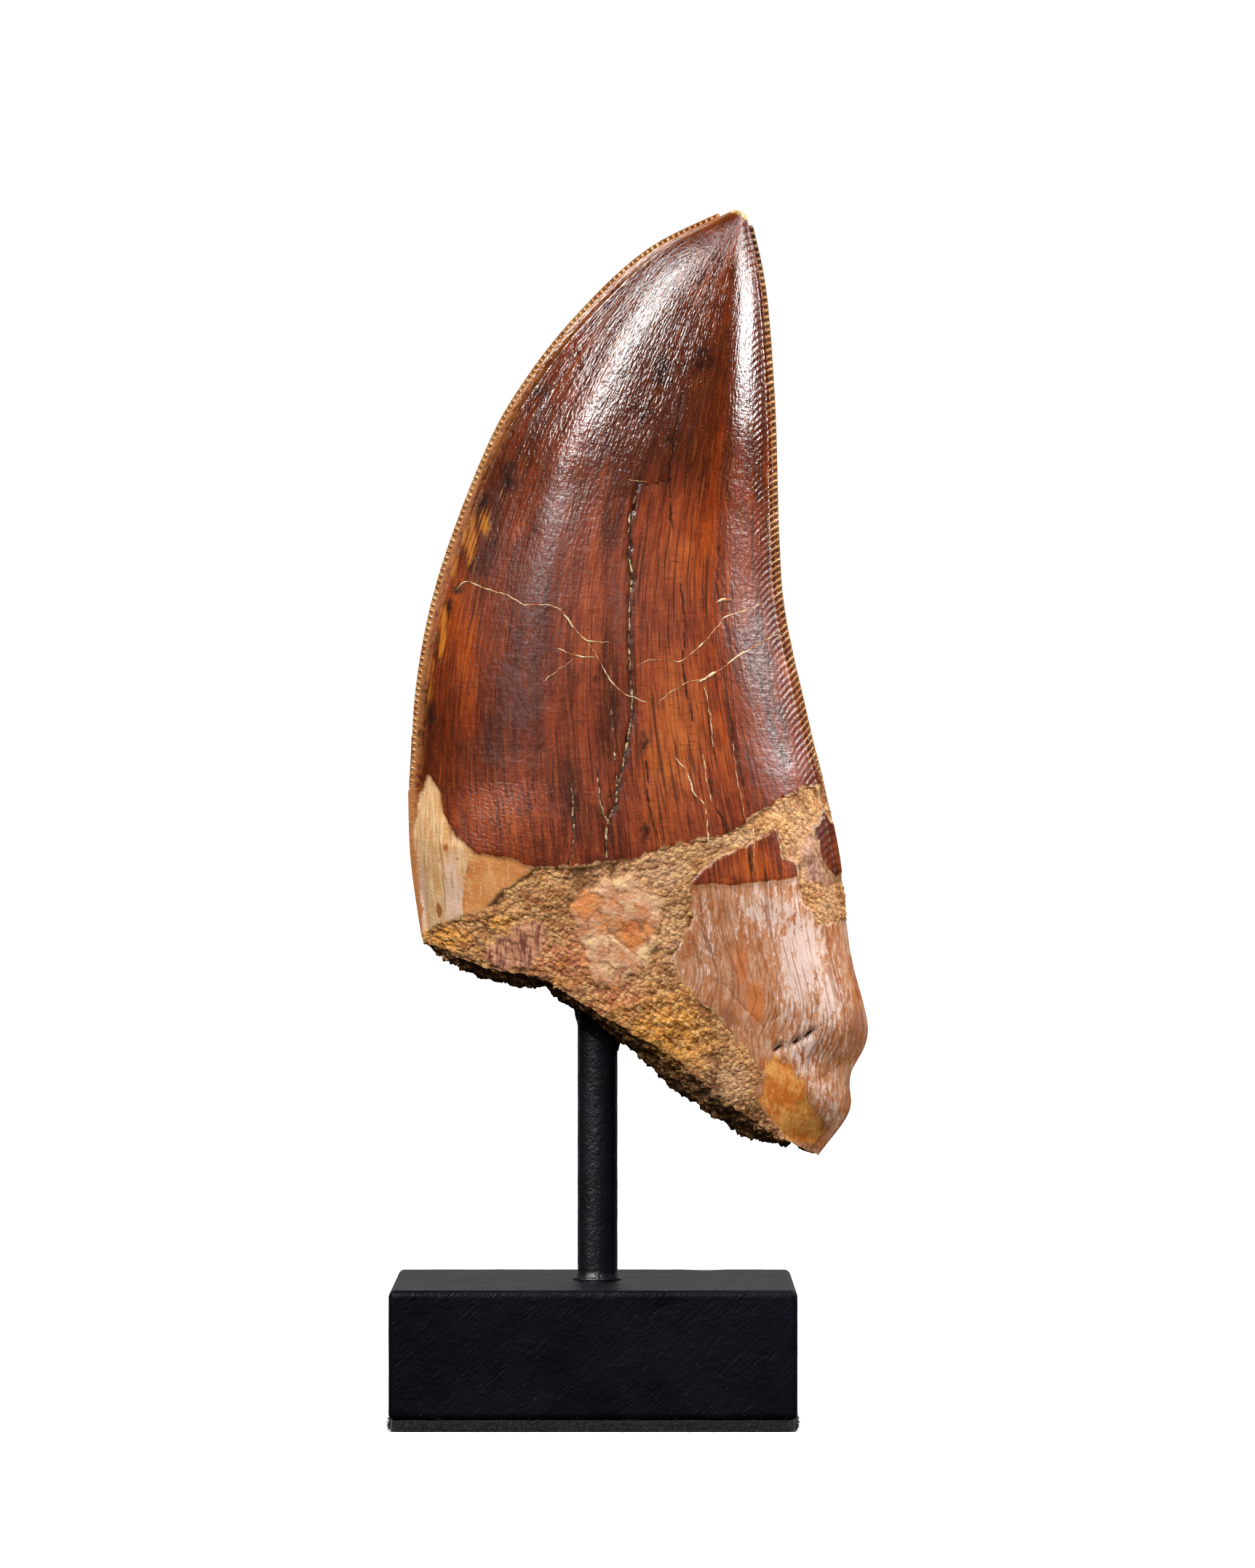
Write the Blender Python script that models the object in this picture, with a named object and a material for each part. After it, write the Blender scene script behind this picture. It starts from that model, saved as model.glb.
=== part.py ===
"""A carcharodontosaurus tooth on a small display stand, in metres, +Z up.

The tooth is seen flat-on from -Y. Its broken root is filled with sandstone, and
a steel rod goes up into the stone from a square steel block with felt under it.
The origin is the middle of the underside of the felt.
"""

import math

import bmesh
import bpy
import numpy as np
from mathutils import Vector, noise

MM = 0.001

# The stand
BASE_SIDE = 31.75 * MM
BASE_HEIGHT = 10.1 * MM
BASE_EDGE_RADIUS = 0.55 * MM
FELT_THICKNESS = 0.88 * MM
FELT_SIDE = 31.5 * MM
FELT_CORNER_RADIUS = 0.7 * MM
ROD_X = 0.3 * MM
ROD_DIAMETER = 3.2 * MM
ROD_FOOT_DIAMETER = 3.9 * MM
ROD_FOOT_HEIGHT = 0.6 * MM
ROD_TENON_DIAMETER = 2.4 * MM
ROD_TENON_LENGTH = 6.0 * MM
ROD_TOP = 38.6 * MM
ROD_SIDES = 32
HOLE_CLEARANCE = 0.3 * MM
SEAT_GAP = 0.02 * MM
BLOCK_TOP = 0.9 * MM + BASE_HEIGHT

# The tooth's two edges seen from the front, from the tip down, as (X, Z) in mm.
# Each has the serrated crown first and then the root.
MESIAL_CROWN = [(10.7, 95.9), (4.2, 92.6), (-1.3, 87.5), (-5.5, 82.2), (-8.6, 76.7),
                (-12.3, 66.8), (-14.1, 58.5), (-14.7, 50.3)]
DISTAL_CROWN = [(12.5, 95.1), (13.7, 89.2), (14.4, 80.0), (14.7, 70.0), (15.2, 63.6),
                (17.1, 55.0), (18.2, 50.8)]
MESIAL_ROOT = [(-14.7, 50.3), (-14.5, 44.3), (-13.6, 37.8)]
DISTAL_ROOT = [(18.2, 50.8), (19.5, 44.3), (20.4, 36.9), (21.8, 30.7), (20.4, 27.1), (20.3, 24.2),
               (17.8, 20.7)]
BROKEN_END = [(-13.6, 37.8), (-10.1, 36.2), (-7.2, 35.4), (-4.5, 35.0), (-2.1, 33.6), (2.4, 30.9),
              (7.2, 27.8), (11.4, 24.4), (14.7, 22.3), (17.8, 20.7)]

# Half the tooth's thickness in mm, by station: 0 at the tip, 1 at the foot of the
# enamel, 2 at the broken end
HALF_THICKNESS = [(0.0, 0.9), (0.08, 1.7), (0.25, 3.2), (0.5, 4.75), (0.75, 5.7), (1.0, 6.2),
                  (1.5, 6.3), (2.0, 5.9)]
# Where the ridge of the blade runs, as a fraction of the width from the mesial edge
RIDGE = [(0.0, 0.66), (0.25, 0.71), (0.5, 0.66), (0.75, 0.58), (1.0, 0.54), (2.0, 0.58)]
# How the flanks fall away from the ridge: 2 is a parabola, more is a flatter side
MESIAL_FALL = [(0.0, 2.0), (0.5, 2.2), (1.0, 2.7), (2.0, 2.8)]
DISTAL_FALL = [(0.0, 2.0), (0.5, 2.6), (1.0, 3.3), (2.0, 3.2)]
# The tip leans back a little, out of the plane of the two edges, in mm
LEAN = [(0.0, 1.5), (0.25, 0.8), (0.5, 0.3), (0.75, 0.0), (2.0, 0.0)]

# The thin keel that carries the serrations along each edge
KEEL_REACH = 0.8
KEEL_HALF_THICKNESS = 0.24
KEEL_ROOT_HALF_THICKNESS = 0.4
DENTICLE_DEPTH = 0.3
WORN_DENTICLE_DEPTH = 0.12
MESIAL_DENTICLES_PER_ROW = 4
DISTAL_DENTICLES_PER_ROW = 3
WORN_DENTICLES_PER_ROW = 3
POINTS_PER_DENTICLE = 4

CROWN_ROWS = 28
WORN_ROWS = 6
ROOT_ROWS = 9
END_ROWS = 3
SIDE_COLUMNS = 12
MIDDLE_LINE_STOP = 0.08

# The sandstone, seen from the front: its outline as (X, Z) and how far back it
# goes, as Y, all in mm. It reaches past the tooth below and at both ends.
STONE_OUTLINE = [
    (-16.5, 38.6, 0.4), (-13.6, 38.3, 0.4), (-11.6, 39.3, 0.8), (-8.4, 40.4, 1.6), (-7.2, 41.6, 2.0),
    (-4.4, 43.6, 2.4), (-0.5, 43.7, 2.6), (3.1, 44.2, 2.6), (7.1, 45.6, -3.6), (10.6, 46.1, -3.7),
    (13.4, 48.2, -3.0), (16.3, 49.7, -0.6), (20.4, 50.8, 2.4), (22.6, 49.0, 2.8), (22.6, 39.8, 2.8),
    (19.9, 39.6, 1.6), (18.1, 39.1, -0.4), (16.6, 40.9, -1.8), (16.1, 43.9, -2.4), (14.9, 44.8, -3.0),
    (14.4, 46.9, -3.2), (12.0, 45.4, -3.8), (9.1, 44.1, -3.6), (7.5, 42.4, 1.8), (7.7, 39.3, 2.4),
    (6.0, 36.6, 2.6), (7.1, 34.2, 2.4), (9.1, 32.4, 2.2), (12.0, 29.3, 1.8), (13.2, 27.4, 1.4),
    (12.7, 25.6, 1.2), (15.0, 22.4, 0.6), (15.6, 17.0, 0.6), (2.0, 20.0, 2.4), (-16.5, 32.0, 0.4)]
STONE_GAP = 0.3
STONE_FRONT = -12.0
STONE_COLUMNS = 44
STONE_ROWS = 26
STONE_END_ROWS = 6
STONE_TOP_STATION = 0.93
STONE_SINK = 0.1
LUMP_HEIGHT = 0.42
LUMP_SIZE = 2.3
GRAIN_HEIGHT = 0.16
GRAIN_SIZE = 0.8
END_BULGE = 1.3

# The long crack down the front of the crown and the short one across the root,
# as (X, Z) in mm
CROWN_CRACK = [(4.7, 77.6), (3.5, 74.1), (2.8, 71.0), (2.8, 66.4), (3.0, 62.0), (3.0, 56.0),
               (2.3, 51.2), (1.2, 47.4), (1.0, 45.9)]
ROOT_CRACK = [(14.4, 29.3), (15.8, 29.8), (17.5, 30.6), (19.2, 32.2)]
CRACK_STEPS = 12
CRACK_WIDTH = 0.45
CRACK_DEPTH = 0.45

SHARP_ANGLE = math.radians(35)
MERGE = 0.5e-6


def eased(stops, station):
    """Value at a station, read off a smooth curve through (station, value) stops."""
    places = [stop[0] for stop in stops]
    values = [stop[1] for stop in stops]
    slopes = np.gradient(values, places)
    index = max(i for i in range(len(places) - 1) if places[i] <= station or i == 0)
    span = places[index + 1] - places[index]
    s = (station - places[index]) / span
    start = values[index] * (1 + 2 * s) + slopes[index] * span * s
    end = values[index + 1] * (3 - 2 * s) - slopes[index + 1] * span * (1 - s)
    return start * (1 - s) ** 2 + end * s ** 2


def smooth_line(points, steps=16):
    """Function giving the point at a fraction of the length of a smooth line through points."""
    through = [Vector(point) for point in points]
    ends = [2 * through[0] - through[1]] + through + [2 * through[-1] - through[-2]]
    fine = []
    for a, b, c, d in zip(ends, ends[1:], ends[2:], ends[3:]):
        for step in range(steps):
            s = step / steps
            fine.append(b + (c - a) * (s / 2) + (2 * a - 5 * b + 4 * c - d) * (s * s / 2)
                        + (3 * b - a - 3 * c + d) * (s ** 3 / 2))
    fine.append(through[-1])
    reach = np.cumsum([0.0] + [(q - p).length for p, q in zip(fine, fine[1:])])

    def at(fraction):
        x = np.interp(fraction * reach[-1], reach, [p.x for p in fine])
        z = np.interp(fraction * reach[-1], reach, [p.y for p in fine])
        return Vector((x, z))

    return at


mesial_crown = smooth_line(MESIAL_CROWN)
distal_crown = smooth_line(DISTAL_CROWN)
mesial_root = smooth_line(MESIAL_ROOT)
distal_root = smooth_line(DISTAL_ROOT)
broken_end = smooth_line(BROKEN_END)


def edge_at(rim, station):
    """The mesial edge, where rim is -1, or the distal edge at a station."""
    crown, root = (mesial_crown, mesial_root) if rim < 0 else (distal_crown, distal_root)
    return crown(station) if station <= 1.0 else root(station - 1.0)


def edges_at(station):
    return edge_at(-1, station), edge_at(1, station)


def front_view(u, station):
    """(X, Z) at a fraction u of the width: straight rows in the crown, bending to the break."""
    mesial, distal = edges_at(station)
    straight = mesial.lerp(distal, u)
    if station <= 1.0:
        return straight
    chord = broken_end(0.0).lerp(broken_end(1.0), u)
    return straight + (broken_end(u) - chord) * (station - 1.0) ** 2


def half_thickness(u, station):
    """Half the thickness in mm at a fraction u of the width."""
    mesial, distal = edges_at(station)
    width = (distal - mesial).length
    keel = 0.5 / width
    inside = min(max((u - keel) / (1.0 - 2.0 * keel), 0.0), 1.0)
    ridge = eased(RIDGE, station)
    if inside < ridge:
        fall = eased(MESIAL_FALL, station)
        rise = inside / ridge
    else:
        fall = eased(DISTAL_FALL, station)
        rise = (1.0 - inside) / (1.0 - ridge)
    flank = 1.0 - (1.0 - rise) ** fall
    roundness = 1.0 - 0.4 * min(max((station - 0.95) / 0.4, 0.0), 1.0)
    hollow = 0.07 * math.exp(-((u - 0.55) / 0.16) ** 2) * min(max((station - 0.45) * 2.0, 0.0), 1.0)
    body = eased(HALF_THICKNESS, station) * (flank ** roundness) * (1.0 - hollow)
    from_edge = min(u, 1.0 - u) * width
    edge = KEEL_HALF_THICKNESS
    edge += (KEEL_ROOT_HALF_THICKNESS - KEEL_HALF_THICKNESS) * min(from_edge / KEEL_REACH, 1.0)
    return max(body, edge)


def column_fractions(station, columns):
    """Fractions of the width for one row: the edge, the foot of the keel, then even steps."""
    mesial, distal = edges_at(station)
    keel = min(KEEL_REACH / (distal - mesial).length, 0.2)
    between = columns - 2
    inner = []
    for step in range(between + 1):
        even = step / between
        drawn_out = 0.5 - 0.5 * math.cos(math.pi * even)
        inner.append(keel + (1.0 - 2.0 * keel) * (0.5 * even + 0.5 * drawn_out))
    return [0.0] + inner + [1.0]


def on_tooth(u, station, side, inward=0.0):
    """Point of the surface in metres. side is -1 in front and 1 behind; inward goes from 0 on
    the surface to 1 on the middle line, which closes the ends and stops short of both edges."""
    flat = front_view(u + (0.5 - u) * MIDDLE_LINE_STOP * inward, station)
    half = half_thickness(u, station) * (1.0 - inward)
    return Vector((flat.x, eased(LEAN, station) + side * half, flat.y)) * MM


def rolled_grid(columns, rows, place):
    """Closed skin from a grid rolled round the tooth: place(column, side, row) gives each point."""
    around = 2 * columns + 2
    bm = bmesh.new()
    bmesh.ops.create_grid(bm, x_segments=around, y_segments=rows, size=0.5)
    row_layer = bm.verts.layers.float.new("row")
    rim_layer = bm.verts.layers.float.new("rim")
    for vert in bm.verts:
        turn = round((vert.co.x + 0.5) * around) % around
        row = round((vert.co.y + 0.5) * rows)
        front = turn <= columns
        column = turn if front else around - 1 - turn
        vert.co = place(column, -1 if front else 1, row)
        vert[row_layer] = row
        if column in (0, columns):
            vert[rim_layer] = -1 if column == 0 else 1
    bmesh.ops.remove_doubles(bm, verts=bm.verts, dist=MERGE)
    bmesh.ops.recalc_face_normals(bm, faces=bm.faces)
    return bm


def finish_mesh(bm, name):
    """Triangles, facing out, in a new object."""
    bmesh.ops.triangulate(bm, faces=bm.faces)
    bmesh.ops.recalc_face_normals(bm, faces=bm.faces)
    mesh = bpy.data.meshes.new(name)
    bm.to_mesh(mesh)
    bm.free()
    mesh.shade_smooth()
    mesh.set_sharp_from_angle(angle=SHARP_ANGLE)
    piece = bpy.data.objects.new(name, mesh)
    bpy.context.scene.collection.objects.link(piece)
    return piece


def settle_cuts(piece):
    """Makes the outcome of the Booleans the piece's own mesh, with its cut edges sharp."""
    depsgraph = bpy.context.evaluated_depsgraph_get()
    piece.data = bpy.data.meshes.new_from_object(piece.evaluated_get(depsgraph))
    piece.modifiers.clear()
    piece.data.set_sharp_from_angle(angle=SHARP_ANGLE)


def paint(piece, colour, roughness, metallic=0.0):
    """Gives a piece its own material; colour is linear red, green, blue."""
    material = bpy.data.materials.new(piece.name)
    material.use_nodes = True
    shader = material.node_tree.nodes["Principled BSDF"]
    shader.inputs["Base Color"].default_value = (*colour, 1.0)
    shader.inputs["Roughness"].default_value = roughness
    shader.inputs["Metallic"].default_value = metallic
    material.diffuse_color = (*colour, 1.0)
    piece.data.materials.clear()
    piece.data.materials.append(material)


def boolean(piece, cutter, operation):
    """Adds an exact Boolean with a cutter."""
    modifier = piece.modifiers.new(operation.lower() + " " + cutter.name, "BOOLEAN")
    modifier.operation = operation
    modifier.solver = "EXACT"
    modifier.object = cutter


def as_cutter(piece):
    """Marks a piece as a tool for cutting, no part of the object."""
    piece.hide_render = True
    piece.display_type = "WIRE"
    return piece


def station_of(row):
    """Row 0 closes the tip; then come the crown's rows and the root's."""
    crown_rows = min(max(row - 1, 0), CROWN_ROWS)
    root_rows = min(max(row - 1 - CROWN_ROWS, 0), ROOT_ROWS)
    return crown_rows / CROWN_ROWS + root_rows / ROOT_ROWS


def split_rim(bm, rim, first_row, last_row, per_row):
    """Gives the keel's outer edges enough points for the denticles between two rows."""
    row_layer = bm.verts.layers.float["row"]
    rim_layer = bm.verts.layers.float["rim"]
    chain = []
    for edge in bm.edges:
        a, b = edge.verts
        low, high = sorted((a[row_layer], b[row_layer]))
        on_rim = a[rim_layer] == rim and b[rim_layer] == rim
        if on_rim and low != high and low >= first_row and high <= last_row:
            chain.append(edge)
    bmesh.ops.subdivide_edges(bm, edges=chain, cuts=per_row * POINTS_PER_DENTICLE - 1,
                              use_grid_fill=True)


def draw_denticles(bm, rim, first_row, last_row, per_row, depth):
    """Moves the points of a split rim onto the edge, and the gaps between denticles inwards."""
    row_layer = bm.verts.layers.float["row"]
    rim_layer = bm.verts.layers.float["rim"]
    for vert in bm.verts:
        row = vert[row_layer]
        if abs(vert[rim_layer] - rim) > 0.01 or row < first_row or row > last_row:
            continue
        station = station_of(row)
        phase = (row * per_row) % 1.0
        crest = min(max(1.5 - 4.0 * abs(phase - 0.375), 0.0), 1.0)
        before = edge_at(rim, max(station - 0.004, 0.0))
        after = edge_at(rim, station + 0.004)
        along = (after - before).normalized()
        inward = Vector((along.y, -along.x)) * rim
        place = edge_at(rim, station) + inward * depth * (1.0 - crest)
        vert.co.x = place.x * MM
        vert.co.z = place.y * MM


def cut_denticles(bm):
    crown_end = CROWN_ROWS + 1
    runs = [(-1, 1, crown_end, MESIAL_DENTICLES_PER_ROW, DENTICLE_DEPTH),
            (-1, crown_end, crown_end + WORN_ROWS, WORN_DENTICLES_PER_ROW, WORN_DENTICLE_DEPTH),
            (1, 1, crown_end, DISTAL_DENTICLES_PER_ROW, DENTICLE_DEPTH)]
    for rim, first_row, last_row, per_row, depth in runs:
        split_rim(bm, rim, first_row, last_row, per_row)
        draw_denticles(bm, rim, first_row, last_row, per_row, depth)


def build_tooth():
    """Crown and root as one skin: a row closing the tip, the crown, the root and the break."""
    rows = 1 + CROWN_ROWS + ROOT_ROWS + END_ROWS

    def place(column, side, row):
        station = station_of(row)
        u = column_fractions(station, SIDE_COLUMNS)[column]
        if row == 0:
            return on_tooth(u, station, side, inward=1.0)
        past_break = row - 1 - CROWN_ROWS - ROOT_ROWS
        point = on_tooth(u, station, side, max(past_break, 0) / END_ROWS)
        if past_break >= 0:
            point.z += lump(point)
        return point

    bm = rolled_grid(SIDE_COLUMNS, rows, place)
    cut_denticles(bm)
    return finish_mesh(bm, "tooth")


def lump(place):
    """How far the broken stone stands out of a smooth surface, in metres."""
    coarse = noise.noise(place / (LUMP_SIZE * MM)) * LUMP_HEIGHT
    fine = noise.noise(place / (GRAIN_SIZE * MM) + Vector((7.0, 3.0, 1.0))) * GRAIN_HEIGHT
    return (coarse + fine - STONE_SINK) * MM


def build_stone_body():
    """The form of the root again, from the foot of the enamel down, with a rough skin."""
    rows = 1 + STONE_ROWS + STONE_END_ROWS

    def place(column, side, row):
        station = STONE_TOP_STATION
        inward = 1.0
        if row > 0:
            station += (2.0 - STONE_TOP_STATION) * min((row - 1) / STONE_ROWS, 1.0)
            inward = max(row - 1 - STONE_ROWS, 0) / STONE_END_ROWS
        u = column_fractions(station, STONE_COLUMNS)[column]
        point = on_tooth(u, station, side, inward)
        if row > STONE_ROWS:
            point.z -= END_BULGE * MM * math.sin(math.pi * 0.5 * inward) * math.sin(math.pi * u)
        return point

    bm = rolled_grid(STONE_COLUMNS, rows, place)
    bm.normal_update()
    for vert, normal in [(vert, vert.normal.copy()) for vert in bm.verts]:
        vert.co += normal * lump(vert.co)
    return finish_mesh(bm, "sandstone_matrix")


def grown(outline, margin):
    """The outline of (X, Z, Y) points moved outwards by a margin, all in mm."""
    moved = []
    count = len(outline)
    for i, point in enumerate(outline):
        here = Vector(point[:2])
        before = (here - Vector(outline[i - 1][:2])).normalized()
        after = (Vector(outline[(i + 1) % count][:2]) - here).normalized()
        out = Vector((-before.y - after.y, before.x + after.x))
        bisector = out.normalized()
        reach = margin / max(bisector.dot(Vector((-before.y, before.x))), 0.5)
        place = here + bisector * reach
        moved.append((place.x, place.y, point[2] + margin))
    return moved


def plug(name, outline):
    """Block with the given outline from in front of the tooth back to each point's own depth."""
    bm = bmesh.new()
    back_layer = bm.verts.layers.float.new("back")
    front = []
    for x, z, back in outline:
        vert = bm.verts.new(Vector((x, STONE_FRONT, z)) * MM)
        vert[back_layer] = back
        front.append(vert)
    extruded = bmesh.ops.extrude_face_region(bm, geom=[bm.faces.new(front)])["geom"]
    for vert in [item for item in extruded if isinstance(item, bmesh.types.BMVert)]:
        vert.co.y = vert[back_layer] * MM
    return as_cutter(finish_mesh(bm, name))


def surface_depth(place):
    """How far in front of Y = 0 the tooth's surface lies at (X, Z), in mm."""
    low, high = 0.0, 2.0
    for _ in range(30):
        station = (low + high) / 2
        mesial, distal = edges_at(station)
        u = (place.x - mesial.x) / (distal.x - mesial.x)
        if front_view(u, station).y > place.y:
            low = station
        else:
            high = station
    return half_thickness(u, station) - eased(LEAN, station)


def crack_outline(course):
    """A crack as a slender spindle round its course, with its bottom under the surface."""
    line = smooth_line(course)
    left = []
    right = []
    for step in range(CRACK_STEPS + 1):
        fraction = step / CRACK_STEPS
        here = line(fraction)
        along = (line(min(fraction + 0.02, 1.0)) - line(max(fraction - 0.02, 0.0))).normalized()
        half = 0.5 * CRACK_WIDTH * math.sin(math.pi * (0.02 + 0.96 * fraction)) ** 0.5
        across = Vector((along.y, -along.x)) * half
        bottom = CRACK_DEPTH - surface_depth(here)
        left.append((here.x + across.x, here.y + across.y, bottom))
        right.append((here.x - across.x, here.y - across.y, bottom))
    return left + right[::-1]


def turned(name, profile):
    """Round piece from (radius, Z) points, bottom to top, about the rod's axis."""
    bm = bmesh.new()
    points = [bm.verts.new((ROD_X + radius, 0.0, height)) for radius, height in profile]
    edges = [bm.edges.new(pair) for pair in zip(points, points[1:])]
    bmesh.ops.spin(bm, geom=points + edges, cent=(ROD_X, 0.0, 0.0), axis=(0.0, 0.0, 1.0),
                   angle=math.tau, steps=ROD_SIDES, use_merge=True)
    bmesh.ops.remove_doubles(bm, verts=bm.verts, dist=MERGE)
    return finish_mesh(bm, name)


def build_rod():
    radius = ROD_DIAMETER / 2
    foot = ROD_FOOT_DIAMETER / 2
    tenon = ROD_TENON_DIAMETER / 2
    shoulder = BLOCK_TOP + SEAT_GAP
    rod = turned("stand_rod", [
        (0.0, BLOCK_TOP - ROD_TENON_LENGTH), (tenon, BLOCK_TOP - ROD_TENON_LENGTH),
        (tenon, shoulder), (foot, shoulder), (foot - 0.12 * MM, shoulder + 0.15 * MM),
        (radius + 0.08 * MM, shoulder + 0.6 * ROD_FOOT_HEIGHT), (radius, shoulder + ROD_FOOT_HEIGHT),
        (radius, ROD_TOP - 0.3 * MM), (radius - 0.3 * MM, ROD_TOP), (0.0, ROD_TOP)])
    paint(rod, (0.012, 0.012, 0.014), 0.45, 0.3)


def build_hole(name, diameter, bottom, top):
    radius = diameter / 2 + HOLE_CLEARANCE
    return as_cutter(turned(name, [(0.0, bottom), (radius, bottom), (radius, top), (0.0, top)]))


def rounded_block(name, side, bottom, top, radius, segments, corners_only=False):
    """Square block on the Z axis with its edges rounded."""
    bm = bmesh.new()
    bmesh.ops.create_cube(bm, size=1.0)
    for vert in bm.verts:
        vert.co.x *= side
        vert.co.y *= side
        vert.co.z = top if vert.co.z > 0 else bottom
    edges = bm.edges[:]
    if corners_only:
        edges = [edge for edge in edges if edge.verts[0].co.z != edge.verts[1].co.z]
    bmesh.ops.bevel(bm, geom=edges, offset=radius, segments=segments, profile=0.5,
                    affect="EDGES", material=-1)
    return finish_mesh(bm, name)


def build_stand():
    build_rod()
    base = rounded_block("stand_base", BASE_SIDE, BLOCK_TOP - BASE_HEIGHT, BLOCK_TOP,
                         BASE_EDGE_RADIUS, 3)
    socket = build_hole("base_hole", ROD_TENON_DIAMETER,
                        BLOCK_TOP - ROD_TENON_LENGTH - HOLE_CLEARANCE, BLOCK_TOP + 1.0 * MM)
    boolean(base, socket, "DIFFERENCE")
    settle_cuts(base)
    paint(base, (0.010, 0.011, 0.014), 0.5, 0.2)
    felt = rounded_block("felt_pad", FELT_SIDE, 0.0, FELT_THICKNESS, FELT_CORNER_RADIUS, 3,
                         corners_only=True)
    paint(felt, (0.012, 0.012, 0.013), 0.95)


def build_fossil():
    stone_block = plug("stone_block", STONE_OUTLINE)
    stone_pocket = plug("stone_pocket", grown(STONE_OUTLINE, STONE_GAP))
    crown_crack = plug("crown_crack", crack_outline(CROWN_CRACK))
    root_crack = plug("root_crack", crack_outline(ROOT_CRACK))
    rod_hole = build_hole("rod_hole", ROD_DIAMETER, BLOCK_TOP + 2.0 * MM, ROD_TOP + SEAT_GAP)

    tooth = build_tooth()
    boolean(tooth, stone_pocket, "DIFFERENCE")
    boolean(tooth, crown_crack, "DIFFERENCE")
    boolean(tooth, root_crack, "DIFFERENCE")
    settle_cuts(tooth)
    paint(tooth, (0.19, 0.045, 0.012), 0.25)

    stone = build_stone_body()
    boolean(stone, stone_block, "INTERSECT")
    boolean(stone, rod_hole, "DIFFERENCE")
    settle_cuts(stone)
    paint(stone, (0.37, 0.21, 0.09), 0.9)


for old in list(bpy.data.objects):
    bpy.data.objects.remove(old)
build_stand()
build_fossil()
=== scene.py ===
"""Looks of a carcharodontosaurus tooth on a small display stand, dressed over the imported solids.

Everything is in the solids' own frame, in metres, +Z up. The side of the tooth that
shows its cracks and sandstone faces -Y. Places on it are given in mm as (X, Z).
"""

import math

import bmesh
import bpy
import numpy as np
from mathutils import Matrix, Vector, noise


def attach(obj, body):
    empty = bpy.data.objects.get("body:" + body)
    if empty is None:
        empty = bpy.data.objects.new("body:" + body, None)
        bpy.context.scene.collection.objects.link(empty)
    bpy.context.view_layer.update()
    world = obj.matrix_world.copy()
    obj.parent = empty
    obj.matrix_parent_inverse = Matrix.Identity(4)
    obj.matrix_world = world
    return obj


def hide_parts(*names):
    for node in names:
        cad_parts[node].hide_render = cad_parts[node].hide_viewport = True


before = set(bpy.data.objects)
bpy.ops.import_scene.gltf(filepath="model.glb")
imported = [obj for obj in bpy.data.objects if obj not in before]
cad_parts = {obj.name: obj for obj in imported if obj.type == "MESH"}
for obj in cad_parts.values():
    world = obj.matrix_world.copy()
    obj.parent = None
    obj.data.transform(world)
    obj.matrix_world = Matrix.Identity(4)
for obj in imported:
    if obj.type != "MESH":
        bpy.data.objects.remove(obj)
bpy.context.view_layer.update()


# The felt pad
# A square of black needled felt, stuck under the block and cut with scissors, so its
# edge is furry. Pale lint clings to the glue line above it.

MM = 0.001
FELT_SIDE = 31.5
FELT_THICKNESS = 0.88
FELT_CORNER_RADIUS = 0.7
FELT_CELL = 0.5
FELT_LUMP = 0.07
FIBRE_COUNT = 3600
FIBRE_LENGTHS = (0.12, 0.5)
FIBRE_RADIUS = 0.022
FIBRE_RISE = 0.25
LINT_COUNT = 60
LINT_LENGTHS = (0.25, 0.8)
LINT_RADIUS = 0.012
LINT_LIFT = 0.4


def colour(red, green, blue):
    """Linear colour from screen values of 0 to 255."""
    levels = np.array([red, green, blue]) / 255.0
    linear = np.where(levels <= 0.04045, levels / 12.92, ((levels + 0.055) / 1.055) ** 2.4)
    return (*linear, 1.0)


class Shade:
    """A number, vector or colour on its way through a finish. Python's signs add Math nodes."""

    def __init__(self, finish, socket):
        self.finish = finish
        self.socket = socket

    def work(self, operation, *parts):
        return self.finish.node("Math", {"operation": operation}, dict(enumerate(parts)))

    def __add__(self, other):
        return self.work("ADD", self, other)

    def __sub__(self, other):
        return self.work("SUBTRACT", self, other)

    def __rsub__(self, other):
        return self.work("SUBTRACT", other, self)

    def __mul__(self, other):
        return self.work("MULTIPLY", self, other)

    __radd__ = __add__
    __rmul__ = __mul__

    def between(self, low, high):
        """0 below low, 1 above high and a soft step from one to the other."""
        return self.finish.node("MapRange", {"interpolation_type": "SMOOTHSTEP"},
                                {"Value": self, "From Min": low, "From Max": high})


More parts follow.
